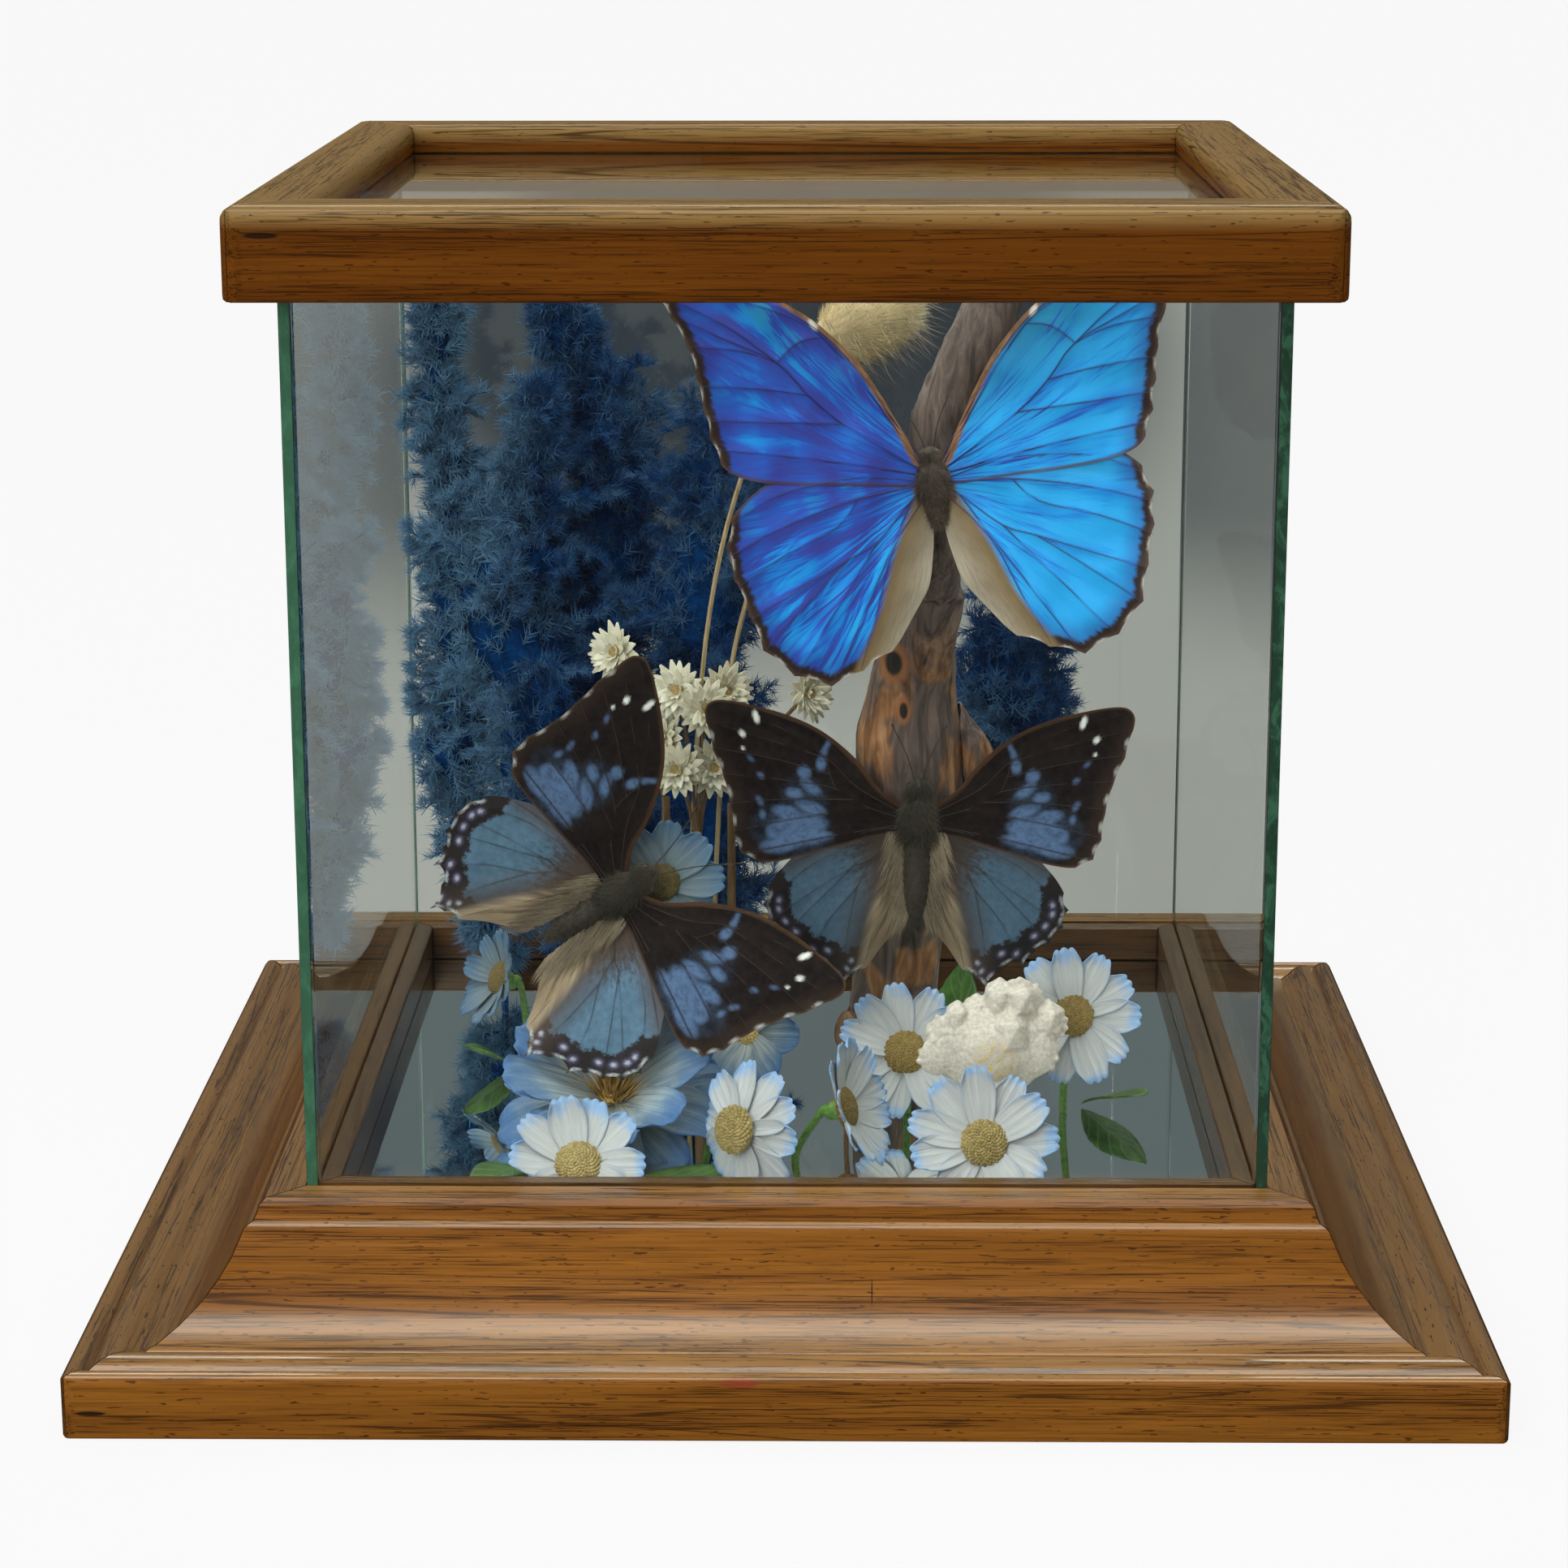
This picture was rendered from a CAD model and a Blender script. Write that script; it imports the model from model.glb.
"""The finished look of a square glass case with butterflies, driftwood and dried flowers.

Sizes are in millimetres unless a name says otherwise; MM turns them into Blender's metres.
The origin is the middle of the base's underside, +Z is up, and the front of the case faces -Y.
"""

import math
import random

import bmesh
import bpy
import numpy as np
from bpy.props import FloatProperty, FloatVectorProperty, IntProperty, PointerProperty
from mathutils import Matrix, Vector, noise


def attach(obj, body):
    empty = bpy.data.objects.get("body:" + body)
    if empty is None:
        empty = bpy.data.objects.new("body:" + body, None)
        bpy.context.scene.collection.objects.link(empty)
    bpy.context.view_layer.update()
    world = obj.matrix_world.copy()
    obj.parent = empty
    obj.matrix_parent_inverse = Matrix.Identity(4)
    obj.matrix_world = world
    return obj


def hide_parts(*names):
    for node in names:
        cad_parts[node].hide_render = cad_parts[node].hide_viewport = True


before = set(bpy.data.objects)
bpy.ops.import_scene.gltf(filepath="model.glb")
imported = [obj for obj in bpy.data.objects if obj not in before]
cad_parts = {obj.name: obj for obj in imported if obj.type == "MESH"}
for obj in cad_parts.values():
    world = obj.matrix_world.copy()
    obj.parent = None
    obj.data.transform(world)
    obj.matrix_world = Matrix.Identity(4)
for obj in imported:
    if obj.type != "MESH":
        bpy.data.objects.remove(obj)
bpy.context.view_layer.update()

bl_info = {
    "name": "Butterfly Display Case",
    "version": (1, 0, 0),
    "blender": (4, 5, 0),
    "location": "3D View > Sidebar > Case",
    "description": "Dresses the frame of a glass case with oak, glass, butterflies and dried flowers",
    "category": "Object",
}

MM = 0.001
BODY = "root"
SIDES = ("front", "right", "back", "left")
FLOOR = 29.8                   # what the contents stand on, just above the mirror

# ---- Butterflies: outlines and veins as (out from the body, towards the head)
MORPHO_FORE = ((0.8, 3.0), (3.5, 5.6), (7.8, 14.2), (12.4, 22.2), (18.4, 30.3), (27, 38), (38, 44),
               (49, 47.5), (57, 48.5), (60, 46.5), (59.5, 43.5), (56.8, 39), (54, 33), (52.2, 26),
               (51.2, 19), (50.2, 12.7), (48.2, 7), (44.5, 4), (36, 1.8), (20, 0.4), (0.8, -1.0))
MORPHO_HIND = ((0.8, 2.0), (20, 5), (37, 4.6), (46.8, -2), (48.9, -7.8), (48, -15), (45.8, -23.3),
               (43.8, -31.2), (37.2, -37.8), (29.2, -41.3), (21.5, -39), (14.5, -35.8), (6.5, -26.5),
               (3, -20), (0.8, -10))
CHARAXES_FORE = ((0.8, 3.2), (5, 6), (9, 8.8), (14.5, 15.6), (22, 21.6), (30, 25.3), (40, 27.9),
                 (46.5, 28.6), (49, 26.8), (48.9, 23.5), (47.2, 17), (44.6, 10.6), (43, 4), (42.3, -2),
                 (40.5, -6.6), (36.5, -8.6), (30, -8), (21.4, -5.6), (10, -2.5), (0.8, -1.0))
CHARAXES_HIND = ((0.8, 1), (12, 0), (24, -4), (30.5, -9.5), (34, -14.5), (35.2, -18.5), (34, -22.5),
                 (31, -26.3), (27.5, -28.6), (25, -32.6), (23.4, -30.8), (20, -32.8), (16.2, -37.6),
                 (14.2, -35), (11.2, -33), (8, -28.5), (4.2, -23), (0.8, -12))
MORPHO_FORE_VEINS = (((1, 3), (8, 13.4), (18, 28), (27, 36.4), (40, 43)),
                     ((2, 2.6), (12, 18), (23.4, 32.9), (34, 39), (55, 46.5)),
                     ((2, 2.2), (10, 7), (20.1, 13.9), (27.5, 20.5), (34, 28), (46, 34), (55, 38.6)),
                     ((23.4, 32.9), (29, 32), (34, 28)), ((34, 28), (42, 31), (53, 32.5)),
                     ((34, 28), (44, 36), (57, 43)), ((27.5, 20.5), (38, 22.5), (51.6, 24)),
                     ((20.1, 13.9), (34, 15), (50.6, 16.5)), ((4, 1.8), (24, 6), (49, 10.2)))
MORPHO_HIND_VEINS = (((2, 0), (18, 3), (36, 1.5), (47, -3.5)),
                     ((2, -0.6), (17.9, -1.6), (34, -5), (48.6, -10)),
                     ((17.9, -1.6), (23.4, -7.1), (36, -11.5), (47.6, -17)),
                     ((2, -1.5), (5.4, -3.6), (14.2, -11.3), (21.7, -14.4), (34, -19.5), (45, -24)),
                     ((21.7, -14.4), (33, -23), (43, -31)), ((14.2, -11.3), (26, -25), (36.4, -37.4)),
                     ((5.4, -3.6), (15, -19), (28, -40)), ((3, -4), (11.5, -14), (17, -27), (22, -38.4)))
CHARAXES_FORE_VEINS = (((1, 3), (9, 8.2), (22, 20.8), (38, 26.9)),
                       ((2, 2.4), (14, 9), (21, 15.5), (32, 22.5), (46, 27)),
                       ((21, 15.5), (34, 19.5), (48.4, 23.6)), ((21, 15.5), (20.4, 12), (19, 8.6)),
                       ((20.4, 12), (34, 15.5), (47, 17.6)),
                       ((2, 1.6), (12, 4.6), (19, 8.6), (32, 10.6), (45, 11.6)),
                       ((15, 6.2), (30, 6), (43.2, 5)), ((11, 4.2), (28, 1.6), (42.2, -1.5)),
                       ((3, 0.6), (20, -2.4), (39, -6.6)))
CHARAXES_HIND_VEINS = (((2, 0), (14, -2), (30, -9.6)), ((2, -0.6), (12, -3.4), (24, -9), (34.6, -18.5)),
                       ((2, -1.2), (11, -8), (14.5, -9.5), (24, -15.5), (33.4, -22.4)),
                       ((14.5, -9.5), (24, -19), (30.6, -26)), ((11, -8), (13.5, -14), (20, -22), (25, -32)),
                       ((13.5, -14), (15.5, -24), (17, -36)), ((2, -2), (6.5, -12), (10, -26), (11.4, -32.4)))
# Bounds of the hindwings' inner folds
CHARAXES_FOLD = ((4.5, -3), (7.5, -10), (9.8, -18), (11.6, -26), (13, -34))
MORPHO_FOLD = ((4.5, -3), (10.8, -14), (15.5, -25.5), (20.4, -34), (25, -41))
# Which stretches of each outline run between cusps
MORPHO_FORE_CUSPS = (9, 16)
MORPHO_HIND_CUSPS = (3, 11)
CHARAXES_FORE_CUSPS = (9, 15)
CHARAXES_HIND_CUSPS = (4, 14)
EDGE_STEPS = 6                 # points on each stretch of an outline
# Marks on the dark forewings as (out, towards the head, half length, half width, turn in degrees)
CHARAXES_PATCHES = ((21.2, 18.4, 1.6, 0.5, -60), (22.1, 16.2, 1.8, 0.65, -62), (22.3, 14.1, 1.6, 1.0, -70),
                    (26.2, 12.3, 1.7, 1.45, 60), (24.6, 8.8, 2.6, 1.15, 35), (28.4, 7.4, 1.9, 1.2, 10),
                    (24.6, 4.2, 3.4, 1.3, 20), (30.2, 3.0, 3.0, 1.5, 10), (26.4, 0.4, 5.6, 2.4, 0),
                    (31.2, -1.4, 3.4, 2.4, 0), (25.6, -2.8, 5.6, 1.7, -6), (31.4, -4.6, 4.4, 1.8, -8),
                    (36.3, 5.6, 1.0, 0.6, 60), (35.6, 2.4, 0.9, 0.6, 80), (36.2, 11.4, 0.8, 0.5, 40),
                    (38.6, 15.3, 0.7, 0.4, 40))
CHARAXES_WHITES = ((37.5, 24.9, 1.5, 0.65, 75), (40.6, 21.0, 0.9, 0.65, 60), (40.4, 17.6, 0.4, 0.35, 0))

# ---- Contents of the case, each node with what shapes it
# centre, facing, radius, button radius, cup, foot on the mirror, petals, trim of the lower petals
DAISIES = {
    "daisy_1": ((-45, -85, 37.2), (0, -0.80, 0.60), 15.8, 5.0, 14, (-45, -76), 10, 0.35),
    "daisy_2": ((-10.9, -79, 43.4), (-0.68, -0.68, 0.25), 15.8, 5.2, -26, (-4, -70), 10, 0.1),
    "daisy_3": ((11.8, -74, 46.5), (0.90, -0.28, 0.3), 15.5, 4.6, 24, (2, -71), 11, 0.1),
    "daisy_4": ((42.5, -82, 41.5), (0, -0.906, 0.423), 17.2, 5.0, 12, (42, -73), 11, 0.2),
    "daisy_5": ((26.3, -36, 47), (0, -0.94, 0.34), 16.5, 4.8, 10, (27, -28), 11, 0.0),
    "daisy_6": ((64.3, -36, 55.8), (-0.1, -0.94, 0.3), 16.5, 4.6, 10, (63, -27), 11, 0.0),
    "daisy_7": ((-28.7, -38, 87.7), (0.1, -0.98, 0.15), 14.5, 4.0, 4, (-18, -16), 9, 0.0),
    "daisy_8": ((-69.2, 10, 50.1), (-0.82, -0.42, 0.38), 12.5, 4.0, 20, (-64, 17), 10, 0.0),
}
DIM_DAISIES = ("daisy_7", "daisy_8")
SHADED_DAISIES = ("daisy_3", "daisy_5", "daisy_6")
# where the stems fork, and the centres of the flowers
STAR_SPRAYS = {
    "star_spray_left": ((-30, 18, 92), ((-41.4, 18, 128.4),)),
    "star_spray_centre": ((-22.2, 12, 82), ((-26.7, 12, 120.4), (-20, 8, 116.9), (-15.5, 15, 119.5),
                                            (-26.7, 6, 102.7), (-30.5, 13, 109.1), (-18.4, 9, 102.2))),
    "star_spray_right": ((-14.5, 20, 90), ((3.8, 17, 118.5),)),
}
# head, its half sizes, its lean in degrees, and the path of the straw
BUNNY_TAILS = {
    "bunny_tail_1": ((17, 14, 207), (10, 9, 17), 62,
                     ((-25.5, 21, FLOOR), (-24.5, 22, 70), (-20.4, 24, 130), (-11.5, 22, 170), (2, 17, 196))),
    "bunny_tail_2": ((-6, 26, 151), (8, 7.5, 14), 25,
                     ((-19, 25, FLOOR), (-18.5, 26, 70), (-15.5, 28, 115), (-11, 27, 138))),
}
# x, y, z and half width from the foot to the tip
PLUMES = {
    "plume_1": ((-74, 70, 44, 6), (-80, 70, 62, 8), (-84, 68, 88, 11), (-82, 66, 114, 16),
                (-79, 66, 140, 16), (-83, 66, 160, 11), (-87, 66, 182, 8), (-87, 66, 207, 4)),
    "plume_2": ((-50, 54, 44, 9), (-54, 54, 65, 14), (-60, 54, 90, 19), (-66, 54, 115, 22),
                (-68, 54, 140, 18), (-66, 54, 156, 12), (-63, 54, 170, 5), (-62, 54, 184, 2)),
    "plume_3": ((-38, 76, 44, 10), (-40, 76, 70, 17), (-44, 76, 100, 23), (-47, 76, 135, 22),
                (-44, 76, 160, 17), (-49, 76, 178, 11), (-55, 76, 192, 7), (-58, 76, 205, 4)),
    "plume_4": ((-20, 60, 44, 9), (-22, 60, 65, 15), (-24, 60, 95, 19), (-21, 60, 130, 20),
                (-19, 60, 160, 16), (-14, 60, 178, 10), (-12, 60, 192, 4)),
    "plume_5": ((44, 66, 46, 3), (50, 66, 75, 9), (55, 66, 100, 15), (56, 66, 125, 13), (52, 66, 146, 4)),
}
BRANCH_TUFTS = 3500            # at most, on the branches of one plume
HEART_TUFTS = 1450             # on its dense heart
PLUME_LEFT, PLUME_BACK = -93.5, 91.0     # how near the panes a plume may reach
# x, y, z, radius and scallops of the coral's lobes
CORAL_LOBES = ((51, -56, 65.0, 5.4, 12), (35, -57, 59.0, 3.6, 8), (41.8, -57, 59.5, 2.4, 6),
               (58, -56, 60.0, 3.8, 9), (33, -58, 53, 4.2, 9), (45, -60, 54, 7.0, 0),
               (54, -58, 54, 5.6, 10), (45, -58, 47, 6.0, 0))
CORAL_HEART = (45.5, -62, 53)
# foot, length, width, heading and rise in degrees
LEAVES = {
    "leaf_1": ((-66, 4), 16, 10, 215, 28),
    "leaf_2": ((-58, -66), 17, 10, 230, 3),
    "leaf_3": ((-32, -75), 22, 9, 12, 0),
    "leaf_4": ((68, -22), 22, 11, -50, 20),
    "leaf_5": ((38, -18), 26, 12, 60, 80),
}
PLUME_TURN = 2.4               # in radians, between one needle or branch of a plume and the next
GOLDEN_ANGLE = 2.39996         # in radians, between one granule of a button and the next
PETAL, BUTTON, STEM = 0, 1, 2  # materials of a flower

# ---- The camera, in metres
CAMERA_SPOT = (0.00918, -0.86545, 0.31849)
CAMERA_RIGHT = Vector((0.999926, 0.012094, -0.001455))
CAMERA_UP = Vector((-0.001542, 0.244139, 0.969739))
CAMERA_FORWARD = Vector((-0.012084, 0.969665, -0.244139))


# ---------------------------------------------------------------- settings

def tint(label, note, colour):
    return FloatVectorProperty(name=label, description=note, subtype="COLOR", size=3, min=0, max=1,
                               default=colour)


class CaseSettings(bpy.types.PropertyGroup):
    """Finishes of the case itself."""
    oak_light: tint("Light oak", "Early wood between the growth rings", (0.33, 0.125, 0.012))
    oak_dark: tint("Dark oak", "Late wood and stained streaks", (0.12, 0.034, 0.003))
    worn_oak: tint("Worn oak", "Paler wood where the top faces have faded", (0.41, 0.26, 0.085))
    top_stain: tint("Top stain", "What the top frame's oak is multiplied by", (0.60, 0.50, 0.45))
    side_stain: FloatProperty(name="Side stain", description="What the base's side rails are multiplied by",
                              default=0.6, min=0.2, max=1)
    glass_edge: tint("Glass edge", "Green of the panes' cut edges", (0.055, 0.18, 0.10))
    arris: FloatProperty(name="Arris", description="Width of the rounding on the oak's sharp edges",
                         default=0.0003, min=0.0001, max=0.001, unit="LENGTH")


class SpecimenSettings(bpy.types.PropertyGroup):
    """Colours of the butterflies and of the plants."""
    azure: tint("Azure", "Bright blue of the large butterfly", (0.010, 0.24, 0.72))
    violet: tint("Violet", "Deep blue of its wings where they turn away", (0.042, 0.055, 0.34))
    powder: tint("Powder blue", "Hindwings of the two dark butterflies", (0.078, 0.142, 0.210))
    umber: tint("Umber", "Their dark forewings", (0.0085, 0.0058, 0.0055))
    wing_grid: FloatProperty(name="Wing grid", description="Size of the cells that carry a wing's pattern",
                             default=0.00045, min=0.0003, max=0.002, unit="LENGTH")
    petal_white: tint("Petal white", "Silk of the daisies", (0.50, 0.51, 0.515))
    petal_blue: tint("Petal blue", "Dyed tips of the daisies", (0.20, 0.37, 0.64))
    plume: tint("Plume", "Dyed feathery plumes", (0.003, 0.039, 0.145))
    plume_pale: tint("Pale plume", "Their tips and the fronds on the left", (0.095, 0.195, 0.31))
    plume_branches: IntProperty(name="Plume branches", description="Side branches on each plume",
                                default=125, min=20, max=160)


class StageSettings(bpy.types.PropertyGroup):
    """Camera and light of the studio."""
    lens: FloatProperty(name="Lens", description="Focal length on a 36 mm wide sensor", default=87.81,
                        min=20, max=300)
    key_strength: FloatProperty(name="Key light", description="Strength of the wide light overhead",
                                default=1.6, min=0)
    fill_power: FloatProperty(name="Fill light", description="Power of the softbox in front", default=17.0,
                              min=0, unit="POWER")
    sheen_power: FloatProperty(name="Sheen light", description="Power of the softboxes high above, which show "
                               "in the varnish", default=46.0, min=0, unit="POWER")


# ---------------------------------------------------------------- materials

def scaled(colour, factor):
    return [factor * c for c in colour]


def between(first, second, share):
    """The colour that lies a share of the way from the first to the second."""
    return [(1 - share) * a + share * b for a, b in zip(first, second)]


class Nodes:
    """A node tree under construction; most methods add a node and return its output."""

    def __init__(self, owner):
        owner.use_nodes = True
        self.tree = owner.node_tree

    def plug(self, socket, value):
        if isinstance(value, bpy.types.NodeSocket):
            self.tree.links.new(value, socket)
        elif socket.type == "RGBA" and len(value) == 3:
            socket.default_value = (*value, 1.0)
        else:
            socket.default_value = value

    def add(self, kind, output=0, values=None, **settings):
        node = self.tree.nodes.new("ShaderNode" + kind)
        for key, value in settings.items():
            setattr(node, key, value)
        for key, value in (values or {}).items():
            self.plug(node.inputs[key], value)
        return node.outputs[output]

    def place(self, scale=(1, 1, 1), turn=0.0):
        """Object coordinates in millimetres, turned about Z and then scaled."""
        spot = self.add("TexCoord", "Object")
        spot = self.add("Mapping", values={"Vector": spot, "Rotation": (0, 0, turn)})
        return self.add("Mapping", values={"Vector": spot, "Scale": [1000 * s for s in scale]})

    def uv(self, scale=(1, 1, 1)):
        return self.add("Mapping", values={"Vector": self.add("TexCoord", "UV"), "Scale": scale})

    def noise(self, vector, detail=3.0, roughness=0.5, distortion=0.0):
        return self.add("TexNoise", "Fac", {"Vector": vector, "Scale": 1.0, "Detail": detail,
                                            "Roughness": roughness, "Distortion": distortion})

    def attribute(self, name):
        return self.add("Attribute", "Fac", attribute_name=name)

    def axis(self, vector, name):
        return self.add("SeparateXYZ", name, {"Vector": vector})

    def math(self, operation, a, b=0.0, clamp=False):
        return self.add("Math", 0, {0: a, 1: b}, operation=operation, use_clamp=clamp)

    def fit(self, value, low, high, to_low=0.0, to_high=1.0):
        return self.add("MapRange", 0, {"Value": value, "From Min": low, "From Max": high,
                                        "To Min": to_low, "To Max": to_high},
                        interpolation_type="SMOOTHSTEP")

    def mix(self, factor, a, b, blend="MIX"):
        return self.add("Mix", 2, {0: factor, 6: a, 7: b}, data_type="RGBA", blend_type=blend)

    def over(self, below, name, colour, *band):
        """Lays a colour over what is below by the mask of that name, as it is or fitted to a band."""
        mask = self.attribute(name)
        return self.mix(self.fit(mask, *band) if band else mask, below, colour)

    def ramp(self, factor, *stops):
        socket = self.add("ValToRGB", 0, {"Fac": factor})
        band = socket.node.color_ramp
        while len(band.elements) < len(stops):
            band.elements.new(0.5)
        for element, (position, colour) in zip(band.elements, stops):
            element.position = position
            element.color = (*colour, 1.0)
        return socket

    def blot(self, spot, reach):
        """1 inside a soft-edged oval of half sizes `reach` round a spot in millimetres."""
        away = self.add("VectorMath", 0, {0: self.place(), 1: spot}, operation="SUBTRACT")
        away = self.add("VectorMath", 0, {0: away, 1: reach}, operation="DIVIDE")
        return self.fit(self.add("VectorMath", "Value", {0: away}, operation="LENGTH"), 1.2, 0.8)

    def bump(self, height, distance, strength=0.6):
        return self.add("Bump", 0, {"Height": height, "Distance": distance * MM, "Strength": strength})


class Recipe(Nodes):
    """A Principled material under construction."""

    def __init__(self, name, **sockets):
        self.material = bpy.data.materials.new(name)
        super().__init__(self.material)
        self.shader = self.tree.nodes["Principled BSDF"]
        self.finish(**sockets)

    def finish(self, **sockets):
        """Sets the shader's sockets, named with underscores for spaces."""
        for name, value in sockets.items():
            self.plug(self.shader.inputs[name.replace("_", " ")], value)
        return self.material


def oak(name, turn, stain, varnish, faded, worn, settings):
    """Satin varnished oak: rings of open pores and stained streaks that run along X after a turn."""
    light, dark = ([a * b for a, b in zip(wood, stain)] for wood in (settings.oak_light, settings.oak_dark))
    r = Recipe(name, Roughness=0.6, Specular_IOR_Level=0.0, Coat_Weight=varnish, Coat_Roughness=0.22)
    drift = r.noise(r.place((0.005, 0.035, 0.035), turn), 2)
    rings = r.noise(r.place((0.0045, 0.17, 0.17), turn), 3, 0.6, 0.9)
    fibres = r.noise(r.place((0.026, 1.5, 1.5), turn), 5, 0.75)
    pores = r.noise(r.place((0.048, 3.4, 3.4), turn), 2, 0.5)
    flecks = r.noise(r.place((0.30, 1.9, 1.9), turn), 1, 0.5)
    amber = between(light, dark, 0.45)
    colour = r.mix(r.fit(fibres, 0.36, 0.62), light, amber)
    colour = r.mix(r.fit(drift, 0.38, 0.62, 0.0, 0.6), colour, amber)
    colour = r.mix(r.math("MULTIPLY", r.fit(rings, 0.47, 0.58), 0.5), colour, between(dark, amber, 0.4))
    # faded where it faces up, and streaked along the rings
    upward = r.fit(r.axis(r.add("TexCoord", "Normal"), "Z"), *worn)
    upward = r.math("MAXIMUM", upward, r.fit(r.axis(r.place(), "Z"), 240.0, 243.6))
    colour = r.mix(r.math("MULTIPLY", upward, faded), colour, scaled(settings.worn_oak, 0.4 * stain[0] + 0.6))
    streak = r.math("MULTIPLY", r.fit(rings, 0.60, 0.68), r.fit(fibres, 0.48, 0.56))
    colour = r.mix(r.math("MULTIPLY", streak, 0.6), colour, (0.022, 0.007, 0.002))
    # open pores, long fine lines and short flecks
    figure = r.noise(r.place((0.0035, 0.13, 0.13), turn), 2, 0.5, 0.6)
    curve = r.math("ABSOLUTE", r.math("SUBTRACT", figure, 0.55))
    line = r.math("MULTIPLY", r.fit(curve, 0.010, 0.003), r.fit(fibres, 0.42, 0.52))
    dash = r.math("MULTIPLY", r.fit(pores, 0.55, 0.60), r.fit(rings, 0.42, 0.56, 0.15, 1.0))
    dash = r.math("MAXIMUM", r.math("MAXIMUM", dash, line), r.fit(flecks, 0.685, 0.715))
    colour = r.mix(r.math("MULTIPLY", dash, 0.78), colour, (0.038, 0.013, 0.003))
    # dull inside the case, with a few dents and a red stroke
    away = r.add("VectorMath", 0, {0: r.place()}, operation="ABSOLUTE")
    within = r.math("MAXIMUM", r.axis(away, "X"), r.axis(away, "Y"))
    dull = r.math("MULTIPLY", r.fit(within, 101.5, 99.5), r.fit(r.axis(away, "Z"), 120, 60))
    colour = r.mix(r.math("MULTIPLY", dull, 0.72), colour, (0.030, 0.019, 0.013))
    dent, red = (0.9, (0.015, 0.008, 0.005)), (0.5, (0.28, 0.02, 0.015))
    for spot, reach, (share, stroke) in (((-103, -111.7, 239.6), (3.4, 6, 0.6), dent),
                                         ((-140.6, -147, 5.8), (3.0, 6, 0.5), dent),
                                         ((118, -112, 33.5), (4.5, 6, 0.35), dent),
                                         ((18, -128, 22), (0.16, 16, 2.6), dent),
                                         ((-9, -146, 12.6), (3.8, 5, 0.9), red)):
        colour = r.mix(r.math("MULTIPLY", r.blot(spot, reach), share), colour, stroke)
    height = r.math("SUBTRACT", r.math("MULTIPLY", fibres, 0.3), dash)
    return r.finish(Base_Color=colour, Normal=r.bump(height, 0.2, 0.6))


def clear_glass():
    r = Recipe("clear_glass", Base_Color=(0.93, 0.98, 0.96), Transmission_Weight=1.0, IOR=1.5)
    smear = r.noise(r.place((0.02, 0.02, 0.035)), 3, 0.6, 0.5)
    return r.finish(Roughness=r.fit(smear, 0.55, 0.8, 0.0, 0.05))


def glass_edge(settings):
    """The cut edges of the panes: green, darker on the right, with shell-like chips."""
    r = Recipe("glass_edge", Transmission_Weight=0.25, IOR=1.5, Roughness=0.25)
    chips = r.noise(r.place((0.25, 0.25, 0.12)), 4, 0.7, 0.6)
    light = r.mix(r.fit(chips, 0.4, 0.7), settings.glass_edge, scaled(settings.glass_edge, 1.5))
    dark = r.mix(r.fit(chips, 0.45, 0.62), scaled(settings.glass_edge, 0.4), settings.glass_edge)
    rightward = r.fit(r.axis(r.place(), "X"), 60, 100)
    return r.finish(Base_Color=r.mix(rightward, light, dark), Normal=r.bump(chips, 0.5, 0.5))


def silvered_mirror():
    r = Recipe("silvered_mirror", Metallic=1.0, Base_Color=(0.86, 0.90, 0.89))
    haze = r.noise(r.place((0.03, 0.03, 0.03)), 4, 0.6, 0.4)
    return r.finish(Roughness=r.fit(haze, 0.45, 0.8, 0.015, 0.09))


def backing_board():
    r = Recipe("backing_board", Roughness=0.85)
    flakes = r.noise(r.place((0.3, 0.3, 0.3)), 5, 0.7, 1.0)
    return r.finish(Base_Color=r.ramp(flakes, (0.3, (0.12, 0.07, 0.04)), (0.7, (0.34, 0.24, 0.14))),
                    Normal=r.bump(flakes, 0.4))


def weathered_wood():
    """Driftwood: grey-brown bark, orange where it is worn away, and dark cracks along the grain."""
    r = Recipe("weathered_wood", Roughness=0.72)
    along = r.noise(r.place((0.35, 0.35, 0.06)), 5, 0.6, 1.0)
    broad = r.noise(r.place((0.075, 0.075, 0.05)), 3, 0.55, 0.6)
    bark = r.ramp(along, (0.28, (0.020, 0.013, 0.011)), (0.48, (0.098, 0.065, 0.055)),
                  (0.72, (0.23, 0.165, 0.135)))
    bare = r.ramp(along, (0.28, (0.075, 0.028, 0.010)), (0.50, (0.30, 0.13, 0.05)),
                  (0.72, (0.50, 0.27, 0.13)))
    low = r.fit(r.axis(r.place(), "Z"), 150, 120)
    colour = r.mix(r.math("MULTIPLY", r.fit(broad, 0.50, 0.60), low), bark, bare)
    for spot, reach in (((23.5, -9, 131), (2.2, 9, 3.0)), ((26, -10, 120), (1.0, 8, 2.0))):
        ring = r.blot(spot, scaled(reach, 1.7))
        colour = r.mix(r.math("MULTIPLY", ring, 0.8), colour, (0.33, 0.12, 0.035))
        colour = r.mix(r.blot(spot, reach), colour, (0.012, 0.006, 0.004))
    return r.finish(Base_Color=colour, Normal=r.bump(along, 0.9, 0.8))


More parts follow.
